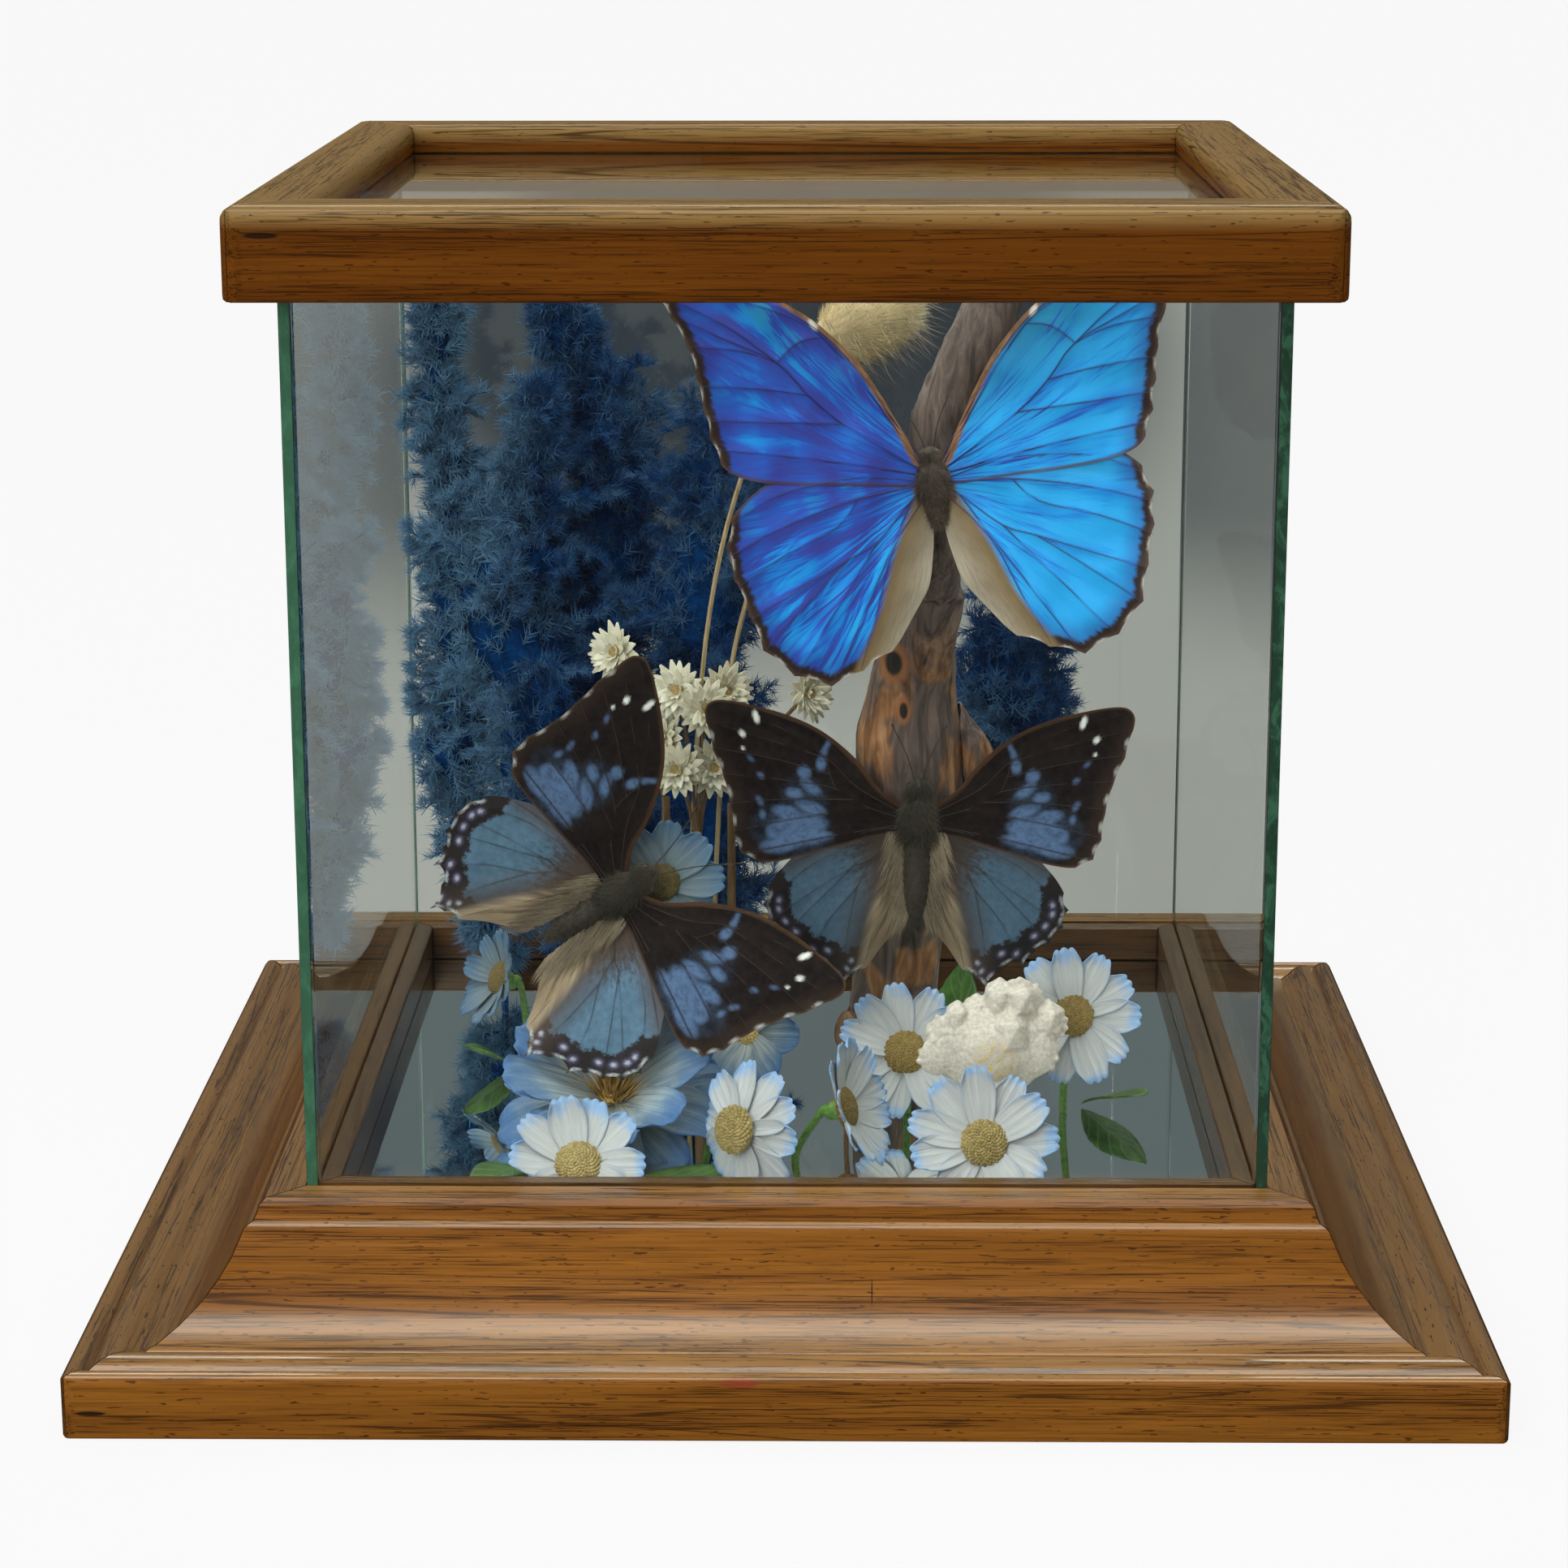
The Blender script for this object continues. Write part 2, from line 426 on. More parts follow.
def scaled_wing(name, colour, roughness=0.5, relief=0.12, **sockets):
    """Wing scales: `colour`, called with the recipe and a fine radial grain, in front and brown behind."""
    r = Recipe(name, Roughness=roughness, **sockets)
    grain = r.noise(r.uv((140, 14, 1)), 3, 0.6)
    mottle = r.noise(r.uv((9, 5, 1)), 4, 0.6, 0.6)
    brown = r.ramp(mottle, (0.35, (0.060, 0.036, 0.022)), (0.5, (0.125, 0.082, 0.050)),
                   (0.68, (0.26, 0.20, 0.14)))
    behind = r.fit(r.axis(r.add("TexCoord", "Normal"), "Y"), 0.0, 0.12)
    return r.finish(Base_Color=r.mix(behind, colour(r, grain), brown), Normal=r.bump(grain, relief, 0.5))


def morpho_blue(settings):
    """Structural blue that swings from violet to azure with the way the wing's surface lies."""
    def colour(r, grain):
        streaks = r.noise(r.uv((26, 2.2, 1)), 3, 0.5, 0.5)
        lie = r.bump(streaks, 2.6, 1.0)
        facing = r.add("VectorMath", "Value", {0: lie, 1: (-0.62, -0.74, 0.27)}, operation="DOT_PRODUCT")
        outward = r.math("MULTIPLY", r.fit(r.attribute("vein"), 0.2, 2.6),
                         r.fit(r.attribute("reach"), 18, 48, 0, 0.13))
        glow = r.math("MULTIPLY", r.attribute("glow"), 0.12)
        bright = facing
        for more in (outward, r.fit(streaks, 0.36, 0.70, -0.10, 0.13), glow,
                     r.fit(r.axis(r.place(), "X"), 21, 13, -0.01, -0.10)):
            bright = r.math("ADD", bright, more)
        blue = r.ramp(bright, (0.30, settings.violet), (0.55, (0.022, 0.10, 0.52)), (0.75, settings.azure),
                      (1.0, (0.018, 0.37, 0.82)))
        teal = r.math("MULTIPLY", r.attribute("shade"), r.fit(facing, 0.55, 0.8))
        blue = r.mix(r.math("MULTIPLY", teal, 0.8), blue, (0.02, 0.24, 0.43))
        blue = r.over(blue, "edge", (0.022, 0.035, 0.26), 7.5, 1.5, 0.0, 0.6)
        blue = r.over(blue, "vein", (0.02, 0.03, 0.20), 0.5, 0.05, 0.0, 0.55)
        rim = r.math("ADD", r.attribute("edge"), r.fit(grain, 0.3, 0.7, -0.4, 0.4))
        blue = r.mix(r.fit(rim, 2.8, 1.5), blue, (0.024, 0.012, 0.010))
        blue = r.over(blue, "outline", (0.075, 0.038, 0.022), 1.0, 0.35, 0.0, 0.8)
        blue = r.over(blue, "costa", r.mix(r.fit(grain, 0.3, 0.7), (0.14, 0.062, 0.028), (0.32, 0.16, 0.08)))
        fold = r.mix(r.attribute("inner"), (0.20, 0.125, 0.045), (0.40, 0.34, 0.26))
        fold = r.mix(r.fit(grain, 0.35, 0.7, 0.0, 0.35), fold, (0.16, 0.11, 0.07))
        return r.over(r.over(blue, "fold", fold), "white", (0.72, 0.66, 0.60))
    return scaled_wing("morpho_blue", colour, 0.42, Specular_IOR_Level=0.25)


def charaxes_brown(settings):
    """Dark forewings with a band of dusty blue patches and a few white marks."""
    def colour(r, grain):
        dust = r.noise(r.uv((60, 30, 1)), 4, 0.7)
        brown = r.mix(r.fit(dust, 0.3, 0.7), settings.umber, scaled(settings.umber, 2.2))
        brown = r.over(brown, "edge", (0.036, 0.022, 0.016), 5.0, 0.5, 0.0, 0.7)
        haze = r.math("MULTIPLY", r.attribute("haze"), r.fit(dust, 0.30, 0.65, 0.15, 0.55))
        brown = r.mix(haze, brown, (0.045, 0.075, 0.13))
        patch = r.math("MULTIPLY", r.attribute("patch"), r.fit(dust, 0.28, 0.55, 0.6, 1.0))
        brown = r.mix(patch, brown, r.mix(dust, (0.060, 0.095, 0.18), (0.115, 0.19, 0.34)))
        brown = r.over(brown, "vein", (0.020, 0.012, 0.009), 0.45, 0.08, 0.0, 0.55)
        brown = r.over(brown, "outline", (0.10, 0.055, 0.032), 0.7, 0.2, 0.0, 0.6)
        return r.over(r.over(brown, "costa", (0.065, 0.030, 0.015)), "white", (0.82, 0.80, 0.76))
    return scaled_wing("charaxes_brown", colour, 0.65, Specular_IOR_Level=0.06)


def charaxes_blue(settings):
    """Powder blue hindwings, brown at the base, with a dark border that holds ringed white dots."""
    def colour(r, grain):
        dust = r.noise(r.uv((60, 30, 1)), 4, 0.7)
        blue = r.mix(r.fit(dust, 0.3, 0.7), settings.powder, scaled(settings.powder, 1.35))
        near = r.math("ADD", r.attribute("reach"), r.fit(dust, 0.3, 0.7, -3.0, 3.0))
        blue = r.mix(r.fit(near, 21.0, 11.0), blue, (0.060, 0.040, 0.032))
        blue = r.mix(r.math("MULTIPLY", r.attribute("upper"), 0.8), blue, (0.085, 0.060, 0.055))
        blue = r.over(blue, "vein", (0.025, 0.028, 0.035), 0.4, 0.08, 0.0, 0.4)
        border = r.math("ADD", r.attribute("edge"), r.fit(dust, 0.3, 0.7, -0.8, 0.8))
        blue = r.mix(r.fit(border, 5.6, 4.4), blue, (0.019, 0.014, 0.014))
        blue = r.over(blue, "ring", (0.07, 0.06, 0.13))
        blue = r.mix(r.math("MULTIPLY", r.attribute("dusk"), 0.85), blue, (0.085, 0.058, 0.044))
        root = r.fit(r.attribute("reach"), 9, 24, -0.22, 0.06)
        fold = r.ramp(r.math("ADD", r.noise(r.uv((46, 3, 1)), 3, 0.6), root), (0.3, (0.085, 0.055, 0.034)),
                      (0.5, (0.28, 0.205, 0.13)), (0.75, (0.48, 0.38, 0.26)))
        blue = r.over(r.over(blue, "fold", fold), "white", (0.62, 0.64, 0.68))
        shaded = r.fit(r.axis(r.place(), "X"), -14, -6, 1.0, 0.62)
        return r.mix(1.0, blue, r.add("CombineColor", 0, {0: shaded, 1: shaded, 2: shaded}), "MULTIPLY")
    return scaled_wing("charaxes_blue", colour, 0.55, Specular_IOR_Level=0.2)


def plain_grain(name, low, high, scale=(1, 1, 1), roughness=0.8, relief=0.2, **sockets):
    """A matt natural finish that varies between two colours, with a matching relief."""
    r = Recipe(name, Roughness=roughness, **sockets)
    grain = r.noise(r.place(scale), 4, 0.65, 0.4)
    return r.finish(Base_Color=r.ramp(grain, (0.32, low), (0.68, high)), Normal=r.bump(grain, relief, 0.6))


def tinted_fibre(name, low, high, roughness=0.75, **sockets):
    """Hairs, needles and bracts: each copy has a tint of its own between two colours."""
    r = Recipe(name, Roughness=roughness, **sockets)
    patch = r.noise(r.place((0.05, 0.05, 0.05)), 3, 0.6)
    share = r.math("ADD", r.math("MULTIPLY", r.attribute("tint"), 0.6), r.fit(patch, 0.35, 0.7, 0.0, 0.5), True)
    return r.finish(Base_Color=r.mix(share, low, high))


def silk_petal(name, base, middle, rim, rim_from, side, shade=0.38, pale_to=0.6):
    """Silk: furrows along the petal, a dyed tip and a trace of dye on its edges; U runs out, V across."""
    r = Recipe(name, Roughness=0.62, Subsurface_Weight=0.12)
    r.shader.inputs["Subsurface Radius"].default_value = (0.002, 0.002, 0.002)
    out = r.axis(r.uv(), "X")
    across = r.axis(r.uv(), "Y")
    furrows = r.noise(r.uv((1.0, 11, 1)), 3, 0.6)
    blotch = r.noise(r.place((0.22, 0.22, 0.22)), 3, 0.6)
    colour = r.mix(r.fit(out, 0.05, pale_to), base, middle)
    colour = r.mix(r.fit(furrows, 0.38, 0.62, shade, 0.0), colour, scaled(middle, 0.66))
    edge = r.math("MULTIPLY", r.math("ABSOLUTE", r.math("SUBTRACT", across, 0.5)), 2.0)
    reach = r.math("ADD", out, r.fit(blotch, 0.3, 0.7, -0.09, 0.09))
    tip = r.math("MULTIPLY", r.fit(reach, rim_from, 1.0), 0.85)
    dyed = r.math("MULTIPLY", r.fit(edge, 0.84, 1.0, 0.0, side), r.fit(reach, 0.35, 0.8))
    colour = r.mix(r.math("MAXIMUM", tip, dyed), colour, rim)
    return r.finish(Base_Color=colour, Normal=r.bump(furrows, 0.45, 0.6))


# ---------------------------------------------------------------- mesh helpers

def piece(name, bm, materials, nodes, angle=50):
    """A finished piece that rides on the case, stands for the named nodes and takes a record slot."""
    mesh = stored(bm, name)
    for material in materials:
        mesh.materials.append(material)
    mesh.shade_smooth()
    mesh.set_sharp_from_angle(angle=math.radians(angle))
    obj = bpy.data.objects.new(name, mesh)
    bpy.context.scene.collection.objects.link(obj)
    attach(obj, BODY)
    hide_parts(*nodes)
    return obj


def thicken(obj, width):
    """Gives open sheets a thickness; closed parts of the same piece aren't harmed by so little."""
    skin = obj.modifiers.new("thickness", "SOLIDIFY")
    skin.thickness = width * MM
    skin.offset = 0


def dress(node, material):
    """A CAD node whose shape is right keeps it, and gets a better finish."""
    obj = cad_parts[node]
    obj.data.materials.clear()
    obj.data.materials.append(material)


def colour_new(bm, index):
    """Gives the faces made since the last call the material of that index."""
    for face in bm.faces:
        if not face.tag:
            face.material_index = index
            face.tag = True


def fair_copy(node, flat=1.0):
    """A bmesh of a CAD node with its loose triangles welded and its flat faces made whole."""
    bm = bmesh.new()
    bm.from_mesh(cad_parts[node].data)
    bmesh.ops.remove_doubles(bm, verts=bm.verts, dist=0.01 * MM)
    if flat:
        bmesh.ops.dissolve_limit(bm, angle_limit=math.radians(flat), verts=bm.verts, edges=bm.edges)
    return bm


def round_edges(bm, width):
    """Rounds every edge sharper than 32 degrees."""
    sharp = [e for e in bm.edges if len(e.link_faces) == 2 and e.calc_face_angle(0) > math.radians(32)]
    bmesh.ops.bevel(bm, geom=sharp, offset=width, segments=2, profile=0.5, affect="EDGES", material=-1,
                    clamp_overlap=True)


def smooth_path(points, steps):
    """A Catmull-Rom curve through points of any dimension, with `steps` stretches to each span."""
    path = []
    ends = [points[0]] + list(points) + [points[-1]]
    for p0, p1, p2, p3 in zip(ends, ends[1:], ends[2:], ends[3:]):
        for i in range(steps):
            path.append(spline_point(p0, p1, p2, p3, i / steps))
    path.append(list(points[-1]))
    return path


def spline_point(p0, p1, p2, p3, t):
    return [0.5 * (2 * b + (c - a) * t + (2 * a - 5 * b + 4 * c - d) * t ** 2
                   + (3 * b - a - 3 * c + d) * t ** 3) for a, b, c, d in zip(p0, p1, p2, p3)]


def sheet_mesh():
    """A bmesh for sheets, whose materials follow a UV map."""
    bm = bmesh.new()
    bm.loops.layers.uv.new("UVMap")
    return bm


def stored(bm, name):
    """The bmesh as a mesh; the bmesh is done with."""
    mesh = bpy.data.meshes.new(name)
    bm.to_mesh(mesh)
    bm.free()
    return mesh


def add_mesh(bm, mesh):
    bm.from_mesh(mesh)
    bpy.data.meshes.remove(mesh)


def add_tubes(bm, lines, roundness, steps):
    """Stems, veins or feelers, each along (x, y, z, radius) points in millimetres."""
    curve = bpy.data.curves.new("tubes", "CURVE")
    curve.dimensions = "3D"
    curve.bevel_depth = MM
    curve.bevel_resolution = roundness
    curve.use_fill_caps = True
    for line in lines:
        path = smooth_path(line, steps)
        spline = curve.splines.new("POLY")
        spline.points.add(len(path) - 1)
        for point, (x, y, z, radius) in zip(spline.points, path):
            point.co = (x * MM, y * MM, z * MM, 1)
            point.radius = radius
    carrier = bpy.data.objects.new("tubes", curve)
    add_mesh(bm, bpy.data.meshes.new_from_object(carrier))
    bpy.data.objects.remove(carrier)
    bpy.data.curves.remove(curve)


def repeated(shape, places, seed=1):
    """A mesh with a copy of the little bmesh `shape` at each place, and a random `tint` for each copy."""
    points = np.array([(*v.co, 1.0) for v in shape.verts])
    shape.verts.index_update()
    faces = np.array([[v.index for v in f.verts] for f in shape.faces])
    shape.free()
    matrices = np.array([np.array(p) for p in places])
    count = len(matrices)
    verts = np.einsum("nij,vj->nvi", matrices, points)[:, :, :3].reshape(-1, 3)
    copies = (faces[None] + (np.arange(count) * len(points))[:, None, None]).reshape(-1, faces.shape[1])
    mesh = bpy.data.meshes.new("copies")
    mesh.from_pydata(verts, [], copies)
    shade = mesh.attributes.new("tint", "FLOAT", "POINT")
    shade.data.foreach_set("value", np.repeat(np.random.default_rng(seed).random(count), len(points)))
    return mesh


def add_copies(bm, shape, places, seed, slot):
    """Copies of the little shape at all the places, in the material of that slot."""
    add_mesh(bm, repeated(shape, places, seed))
    colour_new(bm, slot)


def spike():
    """One hair or needle along +Z: a slim three-sided cone of unit size, ready to be repeated."""
    bm = bmesh.new()
    bmesh.ops.create_cone(bm, cap_ends=False, segments=3, radius1=1, radius2=0, depth=1,
                          matrix=Matrix.Translation((0, 0, 0.5)))
    bmesh.ops.remove_doubles(bm, verts=bm.verts, dist=0.001)
    return bm


def facing(centre, direction):
    """The place of something at a spot in millimetres whose +Z looks along `direction`."""
    turn = Vector(direction).to_track_quat("Z", "Y").to_matrix().to_4x4()
    return Matrix.Translation(Vector(centre) * MM) @ turn


def aim(spot, direction, length, radius):
    """The place of a spike at a spot in millimetres, pointing along a direction."""
    return facing(spot, direction) @ Matrix.Diagonal((radius * MM, radius * MM, length * MM, 1))


def scatter(rng):
    """A random direction, even over the whole sphere."""
    z = rng.uniform(-1, 1)
    turn = rng.uniform(0, 2 * math.pi)
    flat = math.sqrt(1 - z * z)
    return Vector((flat * math.cos(turn), flat * math.sin(turn), z))


def remeshed(bm, voxel, smooth_steps):
    """The same form as one even skin of small faces."""
    mesh = stored(bm, "rough")
    carrier = bpy.data.objects.new("rough", mesh)
    bpy.context.scene.collection.objects.link(carrier)
    skin = carrier.modifiers.new("skin", "REMESH")
    skin.mode = "VOXEL"
    skin.voxel_size = voxel * MM
    graph = bpy.context.evaluated_depsgraph_get()
    result = bmesh.new()
    result.from_mesh(bpy.data.meshes.new_from_object(carrier.evaluated_get(graph)))
    bpy.data.objects.remove(carrier)
    bpy.data.meshes.remove(mesh)
    for _ in range(smooth_steps):
        bmesh.ops.smooth_vert(result, verts=result.verts, factor=0.5, use_axis_x=True, use_axis_y=True,
                              use_axis_z=True)
    result.normal_update()
    return result


# ---------------------------------------------------------------- case

def build_rails(settings):
    """The mitred rails, with their sharp edges eased; each frame's oak runs along its rails."""
    for stem, stain, sides, *finish in (("base", (1, 1, 1), settings.side_stain, 0.85, 0.3, (0.70, 0.96)),
                                        ("top", settings.top_stain, 1.0, 0.3, 0.72, (0.35, 0.8))):
        oaks = [oak("oak_across_" + stem, 0.0, stain, *finish, settings),
                oak("oak_deep_" + stem, math.pi / 2, scaled(stain, sides), *finish, settings)]
        for i, side in enumerate(SIDES):
            node = f"{stem}_rail_{side}"
            bm = fair_copy(node)
            round_edges(bm, settings.arris)
            rail = piece(f"oak_{stem}_{side}", bm, [oaks[i % 2]], [node])
            even = rail.modifiers.new("even_normals", "WEIGHTED_NORMAL")
            even.keep_sharp = True


def build_panes(settings):
    """Clear faces and green cut edges; the mirror and the board keep their shapes."""
    clear = clear_glass()
    edge = glass_edge(settings)
    for node in ("pane_front", "pane_right", "pane_back", "pane_left", "top_glass"):
        bm = fair_copy(node)
        largest = max(f.calc_area() for f in bm.faces)
        for face in bm.faces:
            face.material_index = 0 if face.calc_area() > 0.9 * largest else 1
        round_edges(bm, 0.25 * MM)
        name = node.replace("pane", "glass") if "pane" in node else "glass_top"
        pane = piece(name, bm, [clear, edge], [node], angle=8)
        pane.visible_shadow = False
    dress("mirror_floor", silvered_mirror())
    dress("base_panel", backing_board())


# ---------------------------------------------------------------- driftwood

def build_driftwood():
    wood = weathered_wood()
    for part in ("trunk", "branch", "root"):
        bm = remeshed(fair_copy("driftwood_" + part, 0), 0.9, 3)
        for vertex in bm.verts:
            spot = vertex.co / MM
            if spot.z < FLOOR + 1:
                continue
            grain = noise.fractal(Vector((spot.x * 0.35, spot.y * 0.35, spot.z * 0.06)), 1, 2, 4)
            knots = noise.noise(spot * 0.11)
            vertex.co += vertex.normal * (0.55 * grain - 0.9 * max(0, knots - 0.25)) * MM
        piece("driftwood_" + part + "_bark", bm, [wood], ["driftwood_" + part])


# ---------------------------------------------------------------- butterflies

def inward(way):
    """Square to a stretch of the outline, towards the middle of the wing."""
    return Vector((way.y, -way.x)).normalized()


def wing_edge(points, cusps, depth):
    """A closed wing outline: smooth through its points, but bowed inwards between the cusps."""
    ring = []
    count = len(points)
    for i in range(count):
        p0, p1, p2, p3 = (points[(i + k) % count] for k in (-1, 0, 1, 2))
        for step in range(EDGE_STEPS):
            t = step / EDGE_STEPS
            if cusps[0] <= i < cusps[1]:
                way = Vector(p2) - Vector(p1)
                ring.append(Vector(p1) + way * t + inward(way) * depth * math.sin(math.pi * t))
            else:
                ring.append(Vector(spline_point(p0, p1, p2, p3, t)))
    return ring


def wing_sheet(ring, cell):
    """A flat wing in millimetres, cut into cells small enough to carry its pattern and relief."""
    bm = bmesh.new()
    made = bmesh.ops.create_circle(bm, cap_ends=True, segments=len(ring))["verts"]
    for vertex, point in zip(made, ring):
        vertex.co = (point.x, point.y, 0)
    for axis in range(2):
        low = min(p[axis] for p in ring)
        high = max(p[axis] for p in ring)
        normal = (1 - axis, axis, 0)
        for k in range(1, int((high - low) / (2 * cell))):
            spot = [low + 2 * cell * k] * 3
            bmesh.ops.bisect_plane(bm, geom=bm.verts[:] + bm.edges[:] + bm.faces[:], dist=0.0001,
                                   plane_co=spot, plane_no=normal)
    bmesh.ops.subdivide_edges(bm, edges=bm.edges, cuts=1, use_grid_fill=True)
    return bm


def distance_to(points, lines):
    """How far each of the points is from the nearest of some polylines."""
    best = np.full(len(points), 1e9)
    for line in lines:
        for a, b in zip(line, line[1:]):
            a = np.array(a)
            way = np.array(b) - a
            along = np.clip(((points - a) @ way) / (way @ way), 0, 1)
            best = np.minimum(best, np.linalg.norm(points - a - along[:, None] * way, axis=1))
    return best


def marks_on(points, marks, soft=0.45):
    """1 inside the oval marks and 0 outside them, soft at their rims; close marks run together."""
    clear = np.ones(len(points))
    for w, v, long, short, turn in marks:
        c = math.cos(math.radians(turn))
        s = math.sin(math.radians(turn))
        dx = (points[:, 0] - w) * c + (points[:, 1] - v) * s
        dy = (points[:, 1] - v) * c - (points[:, 0] - w) * s
        inside = (1 - np.hypot(dx / long, dy / short)) * min(long, short) / soft + 0.5
        clear *= 1 - np.clip(inside, 0, 1)
    return 1 - clear


def span_marks(points, cusps, inset, long, short):
    """A mark in the middle of each scallop, `inset` in from the margin and along it."""
    marks = []
    for a, b in zip(points[cusps[0]:cusps[1]], points[cusps[0] + 1:cusps[1] + 1]):
        way = Vector(b) - Vector(a)
        if way.length < 2.5:
            continue
        middle = (Vector(a) + Vector(b)) / 2 + inward(way) * inset
        turn = math.degrees(math.atan2(way.y, way.x))
        marks.append((middle.x, middle.y, min(long, way.length * 0.36), short, turn))
    return marks


def wing_lie(w, v):
    """How high a flat wing lies at a spot: a gentle ripple, and a droop towards the tip."""
    return 0.9 * noise.noise(Vector((w * 0.13, v * 0.13, 0.5))) - 0.0006 * w * w


def wing_template(outline, cusps, depth, veins, cell, extras):
    """One finished flat wing: relief between the veins, and the masks that its material reads."""
    ring = wing_edge(outline, cusps, depth)
    whole = [tuple(p) for p in ring + ring[:1]]
    margin = [tuple(p) for p in ring[cusps[0] * EDGE_STEPS:cusps[1] * EDGE_STEPS + 1]]
    bm = wing_sheet(ring, cell)
    points = np.array([(v.co.x, v.co.y) for v in bm.verts])
    lines = [smooth_path(line, 3) for line in veins]
    masks = {"vein": distance_to(points, lines), "edge": distance_to(points, [margin]),
             "outline": distance_to(points, [whole]), "reach": np.hypot(points[:, 0], points[:, 1])}
    masks.update({name: make(points) for name, make in extras.items()})
    layers = {name: bm.verts.layers.float.new(name) for name in masks}
    uv = bm.loops.layers.uv.new("UVMap")
    sag = np.minimum(masks["vein"], 3.2) / 3.2
    for i, vertex in enumerate(bm.verts):
        for name, layer in layers.items():
            vertex[layer] = masks[name][i]
        vertex.co.z = wing_lie(*points[i]) - 0.35 * sag[i] ** 0.7
    for face in bm.faces:
        for loop in face.loops:
            w, v = loop.vert.co.x, loop.vert.co.y
            loop[uv].uv = (math.atan2(v + 0.01, w + 3) / math.pi, math.hypot(w + 3, v) / 60)
    return stored(bm, "wing")


def vein_tubes(veins, thickness):
    """Raised veins on a flat wing, thick at the root and thin at the margin."""
    bm = bmesh.new()
    add_tubes(bm, [[(w, v, wing_lie(w, v) + 0.05, thickness * (1.5 - math.hypot(w, v) / 50)) for w, v in line]
                   for line in veins], 0, 6)
    return bm


def wing_place(pose, side, swing, dihedral, layer):
    """Where a flat wing goes: mirrored for the left side, swung forward, lifted and posed."""
    return (pose @ Matrix.Rotation(-side * math.radians(dihedral), 4, "Y")
            @ Matrix.Translation((0, 0, layer * MM)) @ Matrix.Rotation(side * math.radians(swing), 4, "Z")
            @ Matrix.Diagonal((side * MM, MM, MM, 1)))


def fold_fur(bm, lift, reach, count, length, slot, seed):
    """Long soft hairs that lie on a hindwing beside the body, combed outwards and back."""
    rng = random.Random(seed)
    places = []
    for _ in range(count):
        back = rng.random() ** 1.3
        root = Vector((1.5 + rng.uniform(0, 5.5) * (1 - 0.5 * back), -1 - reach * back, 0.25))
        way = Vector((0.25 + 0.25 * rng.random(), -1, rng.uniform(0.0, 0.12)))
        places.append(aim(lift @ root / MM, lift.to_3x3() @ way, length * rng.uniform(0.6, 1.2), 0.09))
    add_copies(bm, spike(), places, seed, slot)


def settle(bm, part, place, slot, mirrored=False):
    """Moves a part to its place and makes it one with the butterfly."""
    bmesh.ops.transform(part, matrix=place, verts=part.verts)
    if mirrored:
        bmesh.ops.reverse_faces(part, faces=part.faces)
    add_mesh(bm, stored(part, "part"))
    colour_new(bm, slot)


def add_wing(bm, template, veins, side, swing, dihedral, layer, pose, slot, vein_slot):
    """One wing on the butterfly, with its veins."""
    lift = wing_place(pose, side, swing, dihedral, layer)
    membrane = bmesh.new()
    membrane.from_mesh(template)
    settle(bm, membrane, lift, slot, side < 0)
    settle(bm, vein_tubes(*veins), lift @ Matrix.Diagonal((1 / MM, 1 / MM, 1 / MM, 1)), vein_slot, side < 0)


def add_posed(bm, lines, pose, steps, slot):
    """Tubes whose points are given on the flat butterfly, moved to its pose."""
    part = bmesh.new()
    add_tubes(part, lines, 4, steps)
    settle(bm, part, pose, slot)


def furry_body(bm, profile, pose, slots, waist, hairs, length, seed):
    """A round body along (towards the head, radius) points, ringed behind the waist, with eyes and fur."""
    skin_slot, fur_slot, eye_slot = slots
    path = smooth_path([(0, v, -0.6, r) for v, r in profile], 9)
    path = [(x, v, z, r * (1 + 0.05 * math.sin(3.4 * v)) if v < waist else r) for x, v, z, r in path]
    add_posed(bm, [path], pose, 1, skin_slot)
    head, radius = profile[1]
    for side in (-1, 1):
        spot = Matrix.Translation(Vector((side * 0.66 * radius, head - 0.3, 0.1)) * MM)
        bmesh.ops.create_uvsphere(bm, u_segments=14, v_segments=10, radius=0.45 * radius * MM,
                                  matrix=pose @ spot)
    colour_new(bm, eye_slot)
    rng = random.Random(seed)
    places = []
    for i in range(hairs):
        thorax = i % 4 > 0
        v = rng.uniform(waist, profile[0][0]) if thorax else rng.uniform(profile[-1][0], waist)
        girth = float(np.interp(-v, [-p[0] for p in profile], [p[1] for p in profile]))
        turn = rng.uniform(0, 2 * math.pi)
        out = Vector((math.cos(turn), 0, math.sin(turn)))
        spot = pose @ ((out * girth * 0.9 + Vector((0, v, -0.6))) * MM) / MM
        comb = out * (0.8 if thorax else 0.35) + Vector((0, -0.9, 0)) + scatter(rng) * 0.5
        reach = length * rng.uniform(0.6, 1.3) * (1 if thorax else 0.6)
        places.append(aim(spot, pose.to_3x3() @ comb, reach, 0.10))
    add_copies(bm, spike(), places, seed, fur_slot)


def body_pose(centre, roll):
    """A butterfly's place: its back to the viewer's side, its head turned clockwise by `roll`."""
    return (Matrix.Translation(Vector(centre) * MM) @ Matrix.Rotation(math.radians(82), 4, "X")
            @ Matrix.Rotation(math.radians(-roll), 4, "Z"))


def add_feelers(bm, head, reach, pose, slot):
    """Two thin feelers with small clubs at their tips."""
    lines = [((side * 0.6, head, 0, 0.16), (side * reach * 0.2, head + reach * 0.5, 1, 0.13),
              (side * reach * 0.42, head + reach * 0.93, 1.2, 0.15),
              (side * reach * 0.45, head + reach, 1.2, 0.3)) for side in (-1, 1)]
    add_posed(bm, lines, pose, 4, slot)


